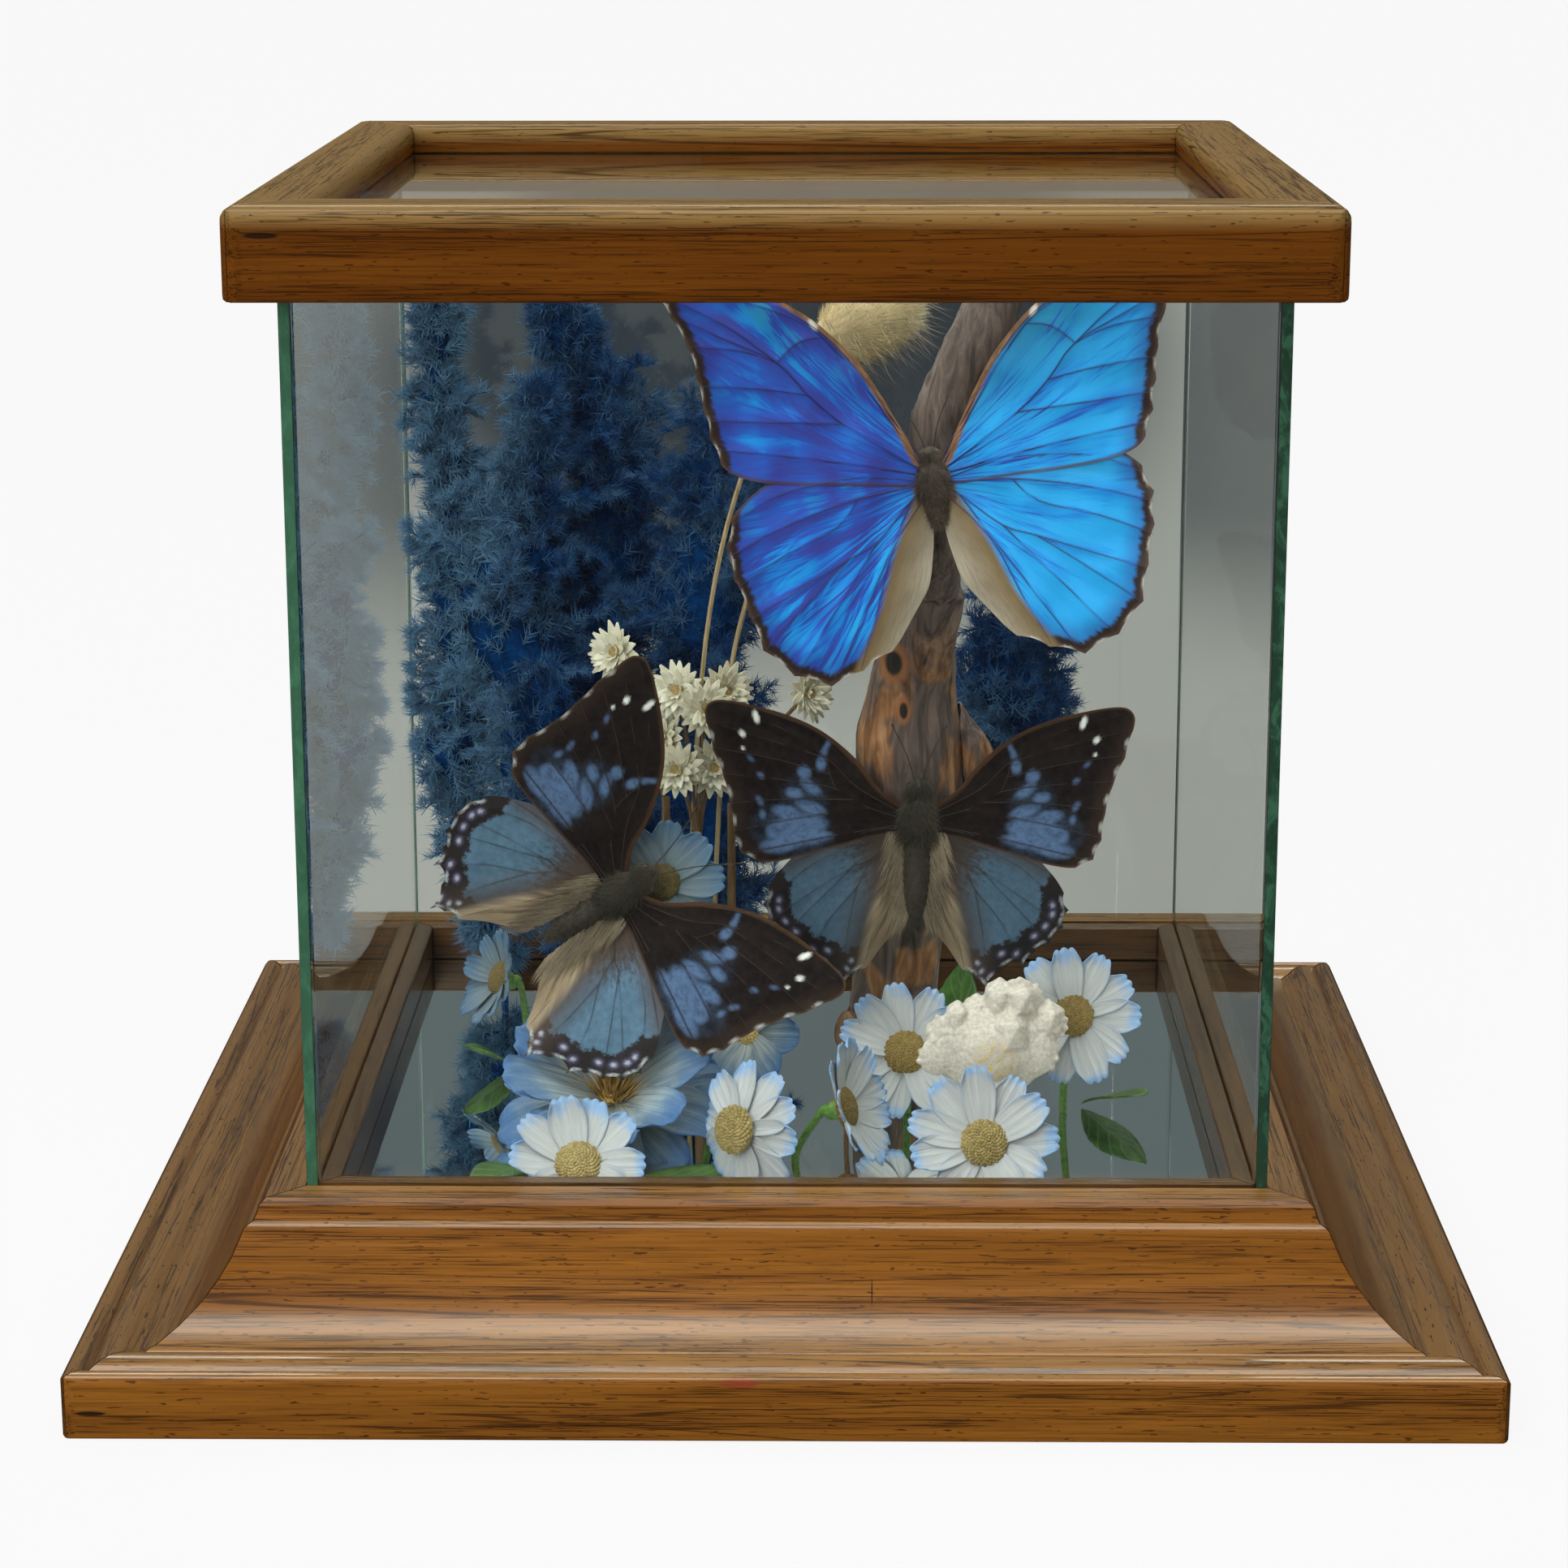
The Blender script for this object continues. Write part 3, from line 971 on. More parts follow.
def costa_mask(line, width):
    """The strong front vein of a wing, as wide as `width` at the root and fading outwards."""
    def make(points):
        near = distance_to(points, [smooth_path(line, 3)])
        return np.clip((width * (1.25 - points[:, 0] / 60) - near) / 0.35 + 0.5, 0, 1)
    return make


def fold_mask(line, soft):
    """The inner fold of a hindwing: everything on the body's side of a line."""
    def make(points):
        bound = np.interp(-points[:, 1], [-p[1] for p in line], [p[0] for p in line])
        return np.clip((bound - points[:, 0]) / soft + 0.5, 0, 1)
    return make


def nowhere(points):
    return np.zeros(len(points))


def margin_marks(outline, cusps, inset, long, short, soft=0.45):
    """A row of marks inside a wing's margin, one to each scallop."""
    return lambda points: marks_on(points, span_marks(outline, cusps, inset, long, short), soft)


def build_morpho(settings):
    cell = settings.wing_grid / MM
    fore_dots = margin_marks(MORPHO_FORE, MORPHO_FORE_CUSPS, 0.35, 1.2, 0.4)
    hind_dots = margin_marks(MORPHO_HIND, MORPHO_HIND_CUSPS, 0.45, 1.3, 0.4)
    fore = wing_template(MORPHO_FORE, MORPHO_FORE_CUSPS, 0.5, MORPHO_FORE_VEINS, cell, {
        "costa": costa_mask(MORPHO_FORE[:8], 1.3), "fold": nowhere, "inner": nowhere, "glow": nowhere,
        "shade": lambda p: np.clip((p[:, 1] - 0.62 * p[:, 0] - 2) / 14, 0, 1),
        "white": lambda p: np.maximum(marks_on(p, ((25.2, 35.6, 1.4, 0.7, 60),)), 0.8 * fore_dots(p))})
    hind = wing_template(MORPHO_HIND, MORPHO_HIND_CUSPS, 0.6, MORPHO_HIND_VEINS, cell, {
        "costa": nowhere, "shade": lambda p: np.clip((p[:, 1] + 6) / 10, 0, 1),
        "glow": lambda p: np.clip((4 - p[:, 1]) / 34, 0, 1),
        "fold": fold_mask(MORPHO_FOLD, 1.4), "inner": fold_mask([(w - 5, v) for w, v in MORPHO_FOLD], 9.0),
        "white": lambda p: 0.85 * hind_dots(p)})
    pose = body_pose((31.7, -34, 178), -7.5)
    bm = bmesh.new()           # materials: 0 wings, 1 veins, 2 skin, 3 fur, 4 eyes
    for side, swing in ((-1, 3.5), (1, -3.5)):
        add_wing(bm, hind, (MORPHO_HIND_VEINS, 0.08), side, 0, 20, -0.3, pose, 0, 1)
        add_wing(bm, fore, (MORPHO_FORE_VEINS, 0.10), side, swing, 20, 0.0, pose, 0, 1)
    profile = ((7.6, 1.1), (6.4, 2.3), (4.6, 2.4), (2, 3.9), (-2.5, 4.0), (-5, 2.9), (-8.5, 2.0), (-10.5, 0.7))
    furry_body(bm, profile, pose, (2, 3, 4), -3.5, 3600, 2.3, 11)
    add_feelers(bm, 6.1, 12, pose, 2)
    vein = plain_grain("morpho_vein", (0.012, 0.014, 0.09), (0.03, 0.03, 0.12), roughness=0.5)
    skin = plain_grain("morpho_body", (0.018, 0.012, 0.009), (0.07, 0.045, 0.032))
    fur = tinted_fibre("morpho_fur", (0.012, 0.009, 0.007), (0.15, 0.10, 0.07))
    piece("morpho_specimen", bm, [morpho_blue(settings), vein, skin, fur, insect_eye()], ["morpho"],
          60)


def insect_eye():
    r = Recipe("insect_eye", Roughness=0.25)
    facets = r.noise(r.place((2, 2, 2)), 2)
    return r.finish(Base_Color=r.mix(facets, (0.02, 0.010, 0.006), (0.09, 0.05, 0.03)))


def build_charaxes(settings):
    cell = settings.wing_grid / MM
    fore_dots = margin_marks(CHARAXES_FORE, CHARAXES_FORE_CUSPS, 0.6, 1.0, 0.4)
    ring_dots = margin_marks(CHARAXES_HIND, CHARAXES_HIND_CUSPS, 3.3, 0.6, 0.45, 0.35)
    rim_dashes = margin_marks(CHARAXES_HIND, CHARAXES_HIND_CUSPS, 1.05, 1.3, 0.3, 0.3)
    fore = wing_template(CHARAXES_FORE, CHARAXES_FORE_CUSPS, 0.3, CHARAXES_FORE_VEINS, cell, {
        "costa": costa_mask(CHARAXES_FORE[:7], 0.9),
        "patch": lambda p: marks_on(p, CHARAXES_PATCHES, 0.8),
        "haze": lambda p: marks_on(p, ((29, -1.2, 8.5, 5.6, 8), (26, 6.5, 5, 4, 40)), 3.0),
        "white": lambda p: np.maximum(marks_on(p, CHARAXES_WHITES, 0.3), 0.45 * fore_dots(p))})
    hind = wing_template(CHARAXES_HIND, CHARAXES_HIND_CUSPS, 0.75, CHARAXES_HIND_VEINS, cell, {
        "upper": lambda p: np.clip((p[:, 1] + 0.42 * p[:, 0] + 1) / 5, 0, 1),
        "ring": margin_marks(CHARAXES_HIND, CHARAXES_HIND_CUSPS, 3.3, 1.3, 1.0),
        "fold": fold_mask(CHARAXES_FOLD, 2.0), "dusk": fold_mask([(w + 4, v) for w, v in CHARAXES_FOLD], 7.0),
        "white": lambda p: np.maximum(0.7 * ring_dots(p), 0.8 * rim_dashes(p))})
    brown = charaxes_brown(settings)
    blue = charaxes_blue(settings)
    vein = plain_grain("charaxes_vein", (0.016, 0.011, 0.009), (0.05, 0.034, 0.024), roughness=0.6)
    skin = plain_grain("charaxes_body", (0.014, 0.012, 0.008), (0.05, 0.038, 0.026))
    fur = tinted_fibre("charaxes_fur", (0.010, 0.010, 0.007), (0.10, 0.080, 0.050))
    eye = insect_eye()
    silk = tinted_fibre("charaxes_fold_fur", (0.045, 0.030, 0.019), (0.38, 0.29, 0.185), 0.6)
    profile = ((11.2, 1.2), (9.6, 2.4), (7.2, 2.5), (4.5, 4.1), (-1, 4.5), (-5, 3.4), (-11, 3.4), (-18, 2.6),
               (-23.5, 0.9))
    for name, centre, roll, dihedral, swings, reach, tail in (
            ("charaxes_right", (29.2, -14, 94.2), 1, 4, (0, 0), 14, 1.0),
            ("charaxes_left", (-38.9, -46, 86.5), 58.3, 16, (8, 6), 19, 0.75)):
        pose = body_pose(centre, roll)
        bm = bmesh.new()       # materials: 0 forewings, 1 hindwings, 2 veins, 3 skin, 4 fur, 5 eyes, 6 silk
        for side in (-1, 1):
            add_wing(bm, hind, (CHARAXES_HIND_VEINS, 0.045), side, swings[1], dihedral, -0.3, pose, 1, 2)
            add_wing(bm, fore, (CHARAXES_FORE_VEINS, 0.06), side, swings[0], dihedral, 0.0, pose, 0, 2)
        body = [(v if v > 0 else v * tail, radius) for v, radius in profile]
        furry_body(bm, body, pose, (3, 4, 5), -3.0, 4600, 2.7, 23)
        for side in (-1, 1):
            fold_fur(bm, wing_place(pose, side, swings[1], dihedral, 0), 20, 700, 6.5, 6, 51 + side)
        add_feelers(bm, 9.7, reach, pose, 3)
        piece(name + "_specimen", bm, [brown, blue, vein, skin, fur, eye, silk], [name], 60)


# ---------------------------------------------------------------- flowers

def add_petal(bm, length, width, place, cup, curl, notches=3, furrow=0.3, ruffle=0.0, along=12, across=18):
    """One petal that grows along +X of `place`: narrow foot, broad notched tip, cupped and curled."""
    made = bmesh.ops.create_grid(bm, x_segments=along, y_segments=across, size=0.5, calc_uvs=True)["verts"]
    rise = math.tan(math.radians(cup))
    for vertex in made:
        t = vertex.co.x + 0.5
        s = vertex.co.y * 2
        half = width / 2 * (0.30 + 0.70 * math.sin(min(1.0, t * 1.35) * math.pi / 2)) * (1 - 0.22 * t ** 6)
        tip = 1 - 0.13 * s ** 4 - 0.045 * (1 - abs(math.cos(notches * math.pi * s / 2)))
        x = length * t * (1 + (tip - 1) * t ** 3)
        z = rise * x + length * curl * t ** 3 + width * 0.10 * s * s * t
        z += ruffle * math.sin(4.2 * s + 9 * t) * s * t * t - furrow * abs(math.sin(2 * math.pi * s)) * t
        vertex.co = place @ (Vector((x, s * half, z)) * MM)


def whorl(bm, place, petals, length, width, cup, curl, rng, short=0.0, lift=0.35, **shape):
    """A ring of petals, each a little different; `short` trims those that hang down."""
    for i in range(petals):
        angle = 2 * math.pi * (i + rng.uniform(-0.12, 0.12)) / petals
        reach = length * rng.uniform(0.92, 1.0) * (1 - short * max(0, -math.sin(angle)))
        turn = (Matrix.Rotation(angle, 4, "Z") @ Matrix.Translation((0, 0, lift * (i % 2) * MM))
                @ Matrix.Rotation(math.radians(rng.uniform(-9, 9)), 4, "X"))
        add_petal(bm, reach, width * rng.uniform(0.9, 1.08), place @ turn, cup + rng.uniform(-5, 5),
                  curl + rng.uniform(-0.06, 0.06), **shape)
    colour_new(bm, PETAL)


def granular_dome(bm, place, radius, height, count=190, size=0.42):
    """The button of a flower: a dome under close-set granules in a sunflower spiral."""
    for vertex in bmesh.ops.create_uvsphere(bm, u_segments=20, v_segments=10, radius=1)["verts"]:
        x, y, z = vertex.co
        vertex.co = place @ (Vector((x * radius, y * radius, max(z, 0.12 * z) * height)) * MM)
    shape = bmesh.new()
    bmesh.ops.create_icosphere(shape, subdivisions=1, radius=1)
    places = []
    for i in range(count):
        share = (i + 0.5) / count
        flat = radius * math.sqrt(share) * 0.99
        turn = i * GOLDEN_ANGLE
        z = height * math.sqrt(max(0, 1 - share * 0.97))
        places.append(place @ Matrix.Translation(Vector((flat * math.cos(turn), flat * math.sin(turn), z)) * MM)
                      @ Matrix.Scale(size * MM * (0.8 + 0.3 * share), 4))
    add_copies(bm, shape, places, 5, BUTTON)


def add_stalk(bm, centre, direction, foot, radius=0.8, calyx=2.2):
    """A stem from behind a flower down to the mirror."""
    c = Vector(centre)
    back = Vector(direction).normalized()
    neck = c - back * 5
    low = FLOOR + min(6, (neck.z - FLOOR) * 0.4)
    add_tubes(bm, [[(*(c - back * 0.3), calyx), (*(c - back * 2.6), calyx * 0.9), (*neck, radius),
                    (*foot, low, radius), (*foot, FLOOR, radius)]], 2, 5)
    colour_new(bm, STEM)


def build_daisies(settings):
    petal = silk_petal("daisy_petal", scaled(settings.petal_white, 0.86), settings.petal_white,
                       settings.petal_blue, 0.74, 0.5)
    dim = silk_petal("daisy_petal_blue", (0.13, 0.17, 0.19), (0.155, 0.21, 0.245), (0.06, 0.14, 0.25), 0.5, 0.8)
    bright_seed = tinted_fibre("daisy_disc", (0.23, 0.17, 0.05), (0.48, 0.37, 0.16), 0.8)
    shaded_seed = tinted_fibre("daisy_disc_ochre", (0.16, 0.10, 0.022), (0.32, 0.22, 0.07), 0.8)
    dim_seed = tinted_fibre("daisy_disc_dim", (0.08, 0.055, 0.014), (0.17, 0.12, 0.04), 0.8)
    green = plain_grain("daisy_stem", (0.05, 0.13, 0.02), (0.16, 0.32, 0.06), roughness=0.5)
    for i, (name, facts) in enumerate(DAISIES.items()):
        centre, direction, radius, button, cup, foot, petals, short = facts
        rng = random.Random(100 + i)
        place = facing(centre, direction)
        bm = sheet_mesh()
        whorl(bm, place, petals, radius, 1.62 * math.pi * radius / petals, cup * 0.7, 0.06, rng, short)
        granular_dome(bm, place @ Matrix.Translation((0, 0, 0.10 * button * MM)), button, button * 0.5)
        add_stalk(bm, centre, direction, foot)
        silk, seed = (dim, dim_seed) if name in DIM_DAISIES else (petal, bright_seed)
        if name in SHADED_DAISIES:
            seed = shaded_seed
        thicken(piece(name + "_bloom", bm, [silk, seed, green], [name]), 0.18)


def build_blue_flowers():
    petal = silk_petal("blue_petal", (0.56, 0.58, 0.54), (0.22, 0.33, 0.43), (0.055, 0.15, 0.36),
                       0.52, 1.0, 0.8, 0.95)
    stamen = tinted_fibre("stamen", (0.70, 0.42, 0.10), (0.90, 0.72, 0.34), 0.7)
    green = plain_grain("blue_flower_stem", (0.05, 0.13, 0.02), (0.14, 0.28, 0.06), roughness=0.5)
    rng = random.Random(7)
    centre = (-39.8, -45.5, 38.6)
    upward = (0, -0.6, 0.8)
    place = facing(centre, upward)
    bm = sheet_mesh()
    for turn, petals, length, width, cup, curl in ((0.3, 10, 28.5, 14.5, 14, -0.22),
                                                   (0, 9, 24.5, 12.5, 44, -0.12)):
        whorl(bm, place @ Matrix.Rotation(turn, 4, "Z"), petals, length, width, cup, curl, rng, lift=0.9,
              notches=2, furrow=0.8, ruffle=1.6, along=16, across=16)
    places = []
    for _ in range(230):
        turn = rng.uniform(0, 2 * math.pi)
        lean = rng.uniform(0.15, 1.15)
        spot = Vector((math.cos(turn) * 4.2 * lean, math.sin(turn) * 4.2 * lean, 1.5))
        way = Vector((math.cos(turn) * lean, math.sin(turn) * lean, 1.1))
        places.append(place @ aim(spot, way, rng.uniform(7, 13), 0.26))
    add_copies(bm, spike(), places, 3, BUTTON)
    granular_dome(bm, place @ Matrix.Translation((0, 0, 1.6 * MM)), 4.2, 2.6, 120)
    add_stalk(bm, centre, upward, (-39.8, -40), 1.3, 3.2)
    thicken(piece("blue_flower_bloom", bm, [petal, stamen, green], ["blue_flower"]), 0.2)
    centre = (-10.1, -22, 46.9)
    forward = (0, -0.9, 0.4)
    place = facing(centre, forward)
    bm = sheet_mesh()
    whorl(bm, place, 6, 13, 10, 22, 0.0, rng, notches=1)
    granular_dome(bm, place, 3.2, 1.8, 60)
    add_stalk(bm, centre, forward, (-8, -13))
    small = piece("blue_flower_small_bloom", bm, [petal, stamen, green], ["blue_flower_small"])
    thicken(small, 0.2)


def bract():
    """One papery bract along +X, a unit long: a pointed, slightly hollow blade of a few faces."""
    bm = bmesh.new()
    for vertex in bmesh.ops.create_grid(bm, x_segments=4, y_segments=2, size=0.5)["verts"]:
        t = vertex.co.x + 0.5
        s = vertex.co.y * 2
        half = 0.16 * math.sin(math.pi * min(0.97, 0.16 + 0.86 * t)) ** 0.8
        vertex.co = (t, s * half, 0.22 * t * t + 0.06 * abs(s))
    return bm


def add_star(bm, centre, direction, rng, radius=6.6):
    """A dried star flower: two rings of bracts round a golden button."""
    place = facing(centre, direction)
    places = []
    for ring, (count, reach, lean) in enumerate(((17, 1.08, 2), (15, 0.92, 20), (11, 0.60, 44))):
        for i in range(count):
            turn = 2 * math.pi * (i + 0.5 * ring + rng.uniform(-0.15, 0.15)) / count
            size = radius * reach * rng.uniform(0.9, 1.05) * MM
            places.append(place @ Matrix.Rotation(turn, 4, "Z")
                          @ Matrix.Rotation(-math.radians(lean + rng.uniform(-6, 6)), 4, "Y")
                          @ Matrix.Diagonal((size, size * 1.25, size, 1)))
    add_copies(bm, bract(), places, rng.randrange(1000), PETAL)
    granular_dome(bm, place @ Matrix.Translation((0, 0, 0.5 * MM)), 1.7, 1.3, 60, 0.24)


def build_star_sprays():
    cream = tinted_fibre("star_bract", (0.60, 0.545, 0.39), (0.80, 0.765, 0.62), 0.6)
    gold = tinted_fibre("star_button", (0.34, 0.23, 0.08), (0.62, 0.48, 0.22), 0.8)
    straw = plain_grain("star_stem", (0.09, 0.045, 0.018), (0.24, 0.14, 0.06), (1, 1, 0.1))
    for i, (name, ((x, y, fork), stars)) in enumerate(STAR_SPRAYS.items()):
        rng = random.Random(40 + i)
        bm = bmesh.new()
        lines = [[(x + dx, y + dx / 2, FLOOR, 0.55), (x + dx / 2, y - dx / 3, (FLOOR + fork) / 2, 0.5),
                  (x + dx / 3, y + dx / 4, fork + 1, 0.5)] for dx in (-1.2, -0.4, 0.5, 1.3)]
        for sx, sy, sz in stars:
            out = Vector((sx - x, -14 - abs(sx - x) * 0.3, 5))
            lines.append([(x, y, fork - 2, 0.5), (x + (sx - x) * 0.35, sy + 1, (fork + sz) / 2, 0.42),
                          (sx, sy + 0.8, sz, 0.5)])
            add_star(bm, (sx, sy, sz), out, rng)
        add_tubes(bm, lines, 1, 4)
        colour_new(bm, STEM)
        thicken(piece(name + "_flowers", bm, [cream, gold, straw], [name]), 0.12)


def head_hairs(rng, place, radii, count, depth, comb, stray, lengths, thickness):
    """Places of hairs rooted in an oval head; `comb` gives the way a hair leans from its root's direction."""
    places = []
    for _ in range(count):
        way = scatter(rng)
        spot = Vector(w * r * depth for w, r in zip(way, radii))
        lean = comb(way) + scatter(rng) * stray
        places.append(place @ aim(spot, lean, rng.uniform(*lengths), thickness))
    return places


def build_bunny_tails():
    husk = plain_grain("grass_core", (0.60, 0.46, 0.25), (0.80, 0.67, 0.42), (0.6, 0.6, 0.6))
    hair = tinted_fibre("grass_hair", (0.68, 0.53, 0.30), (0.94, 0.83, 0.56), 0.55)
    whisker = tinted_fibre("grass_whisker", (0.20, 0.14, 0.09), (0.50, 0.40, 0.26), 0.6)
    straw = plain_grain("grass_straw", (0.26, 0.18, 0.09), (0.50, 0.38, 0.20), (1, 1, 0.1), 0.5)
    for i, (name, (head, radii, lean, stem)) in enumerate(BUNNY_TAILS.items()):
        rng = random.Random(60 + i)
        place = Matrix.Translation(Vector(head) * MM) @ Matrix.Rotation(math.radians(lean), 4, "Y")
        bm = bmesh.new()       # materials: 0 core, 1 hair, 2 straw, 3 whiskers
        bmesh.ops.create_uvsphere(bm, u_segments=24, v_segments=16, radius=1,
                                  matrix=place @ Matrix.Diagonal((*scaled(radii, 0.74 * MM), 1)))
        colour_new(bm, 0)
        hairs = head_hairs(rng, place, radii, 5200, 0.70,
                           lambda w: Vector((w.x * 0.8, w.y * 0.8, w.z * 0.5 + 0.9)), 0.25, (2.5, 5.5), 0.075)
        add_copies(bm, spike(), hairs, i, 1)
        whiskers = head_hairs(rng, place, radii, 420, 0.8,
                              lambda w: Vector((abs(w.x) + 0.2, w.y * 0.5, 0.3)), 0.35, (5, 12), 0.085)
        add_copies(bm, spike(), whiskers, 9 + i, 3)
        add_tubes(bm, [[(*p, 0.6) for p in stem] + [(*head, 0.6)]], 1, 6)
        colour_new(bm, 2)
        piece(name + "_head", bm, [husk, hair, straw, whisker], [name])


# ---------------------------------------------------------------- plumes, coral, pod and leaves

def tuft():
    """A short length of frond along +Z, a unit long, with its needles all round it."""
    places = []
    for i in range(12):
        turn = PLUME_TURN * i
        way = Vector((math.cos(turn), math.sin(turn), 1.15))
        place = Matrix.Translation((0, 0, i / 12)) @ way.to_track_quat("Z", "Y").to_matrix().to_4x4()
        size = 1.25 - 0.35 * (i % 3) / 2
        places.append(place @ Matrix.Diagonal((0.055, 0.055, size, 1)))
    bm = bmesh.new()
    add_mesh(bm, repeated(spike(), places))
    return bm


def plume_tufts(path, branches, rng):
    """Stem and branch lines of one plume, and the places of the tufts along its sprigs."""
    x, y = path[0][:2]
    lines = [[(x, y, FLOOR, 0.9)] + [(*p[:3], max(0.25, 0.9 - 0.03 * i)) for i, p in enumerate(path[::3])]]
    tufts = []
    for k in range(branches):
        share = (k + rng.random()) / branches
        index = min(len(path) - 2, int(share * (len(path) - 1)))
        base = Vector(path[index][:3])
        turn = PLUME_TURN * k + rng.uniform(-0.7, 0.7)
        out = Vector((math.cos(turn), 0.75 * math.sin(turn), rng.uniform(-0.25, 0.95))).normalized()
        length = max(7.0, path[index][3] * rng.uniform(0.8, 1.6))
        bend = scatter(rng) * 0.3 * length
        middle = base + out * length * 0.55 + bend + Vector((0, 0, 0.10 * length))
        tip = base + out * length + bend * 0.4 - Vector((0, 0, rng.uniform(-0.1, 0.25) * length))
        lines.append([(*within_glass(p), size) for p, size in ((base, 0.30), (middle, 0.2), (tip, 0.1))])
        tufts += sprigs(base, middle, tip, rng)
    return lines, tufts


def within_glass(spot):
    """Keeps a point of a plume clear of the side and back panes."""
    return Vector((max(PLUME_LEFT, spot.x), min(PLUME_BACK, spot.y), spot.z))


def needle_core(path):
    """The dense heart of a plume, where the needles are too close to tell apart."""
    bm = bmesh.new()
    add_tubes(bm, [[(*within_glass(Vector(p[:3])), max(0.6, 0.62 * (p[3] - 6))) for p in path[::2]]], 4, 3)
    bm.normal_update()
    for vertex in bm.verts:
        spot = vertex.co / MM
        swell = 9.0 * noise.noise(spot * 0.065) + 3.0 * noise.noise(spot * 0.25)
        vertex.co = within_glass(spot + vertex.normal * swell) * MM
    bm.normal_update()
    return bm


def cover(bm, count, rng):
    """Places of the tufts that stand on the heart of a plume and hide it."""
    verts = bm.verts[:]
    places = []
    for _ in range(count):
        vertex = rng.choice(verts)
        spot = within_glass(vertex.co / MM + scatter(rng) * 1.8)
        size = rng.uniform(2.6, 4.4)
        places.append(aim(spot, vertex.normal + scatter(rng) * 0.8 + Vector((0, 0, 0.5)), size, size))
    return places


def sprigs(base, middle, tip, rng):
    """Tufts along a branch and along the short sprigs that leave it on all sides."""
    places = []
    length = (tip - base).length
    way = (tip - base).normalized()
    for j in range(1, int(length / 2.0)):
        t = j * 2.0 / length
        spot = base.lerp(middle, 2 * t) if t < 0.5 else middle.lerp(tip, 2 * t - 1)
        places.append((spot, way + scatter(rng) * 0.2, 3.6 - 1.4 * t))
        for _ in range(2):
            aside = (way * 0.9 + scatter(rng)).normalized()
            reach = rng.uniform(2.5, 7.5) * (1.1 - 0.75 * t)
            for step in range(int(reach / 2.1)):
                places.append((spot + aside * 2.1 * (step + 0.3), aside + scatter(rng) * 0.25, 3.6 - 1.5 * t))
    return [aim(within_glass(spot), aside, size * rng.uniform(0.8, 1.2), size) for spot, aside, size in places]


def plume_needles(settings):
    """Dyed needles: navy in the thick of the plumes, paler at the tips and towards the left."""
    r = Recipe("plume_needle", Roughness=0.8, Specular_IOR_Level=0.1)
    cloud = r.noise(r.place((0.045, 0.045, 0.045)), 3, 0.6)
    leftward = r.fit(r.axis(r.place(), "X"), -54, -84, 0.0, 0.85)
    share = r.math("ADD", r.math("MULTIPLY", r.attribute("tint"), 0.45), r.fit(cloud, 0.42, 0.7, -0.1, 0.4))
    share = r.math("ADD", share, leftward, True)
    return r.finish(Base_Color=r.mix(share, settings.plume, settings.plume_pale))


def build_plumes(settings):
    needle = plume_needles(settings)
    twig = plain_grain("plume_twig", scaled(settings.plume, 0.6), scaled(settings.plume, 1.8))
    heart = plain_grain("plume_heart", scaled(settings.plume, 0.45), scaled(settings.plume, 1.2),
                        (0.5, 0.5, 0.5), 0.9, 0.8, Specular_IOR_Level=0.0)
    for i, (name, points) in enumerate(PLUMES.items()):
        rng = random.Random(200 + i)
        path = smooth_path(points, 8)
        lines, places = plume_tufts(path, settings.plume_branches, rng)
        bm = needle_core(path)     # materials: 0 needles, 1 twigs, 2 heart
        rng.shuffle(places)
        places = places[:BRANCH_TUFTS] + cover(bm, HEART_TUFTS, rng)
        colour_new(bm, 2)
        add_tubes(bm, lines, 0, 2)
        colour_new(bm, 1)
        add_copies(bm, tuft(), places, 30 + i, 0)
        piece(name + "_fronds", bm, [needle, twig, heart], [name])


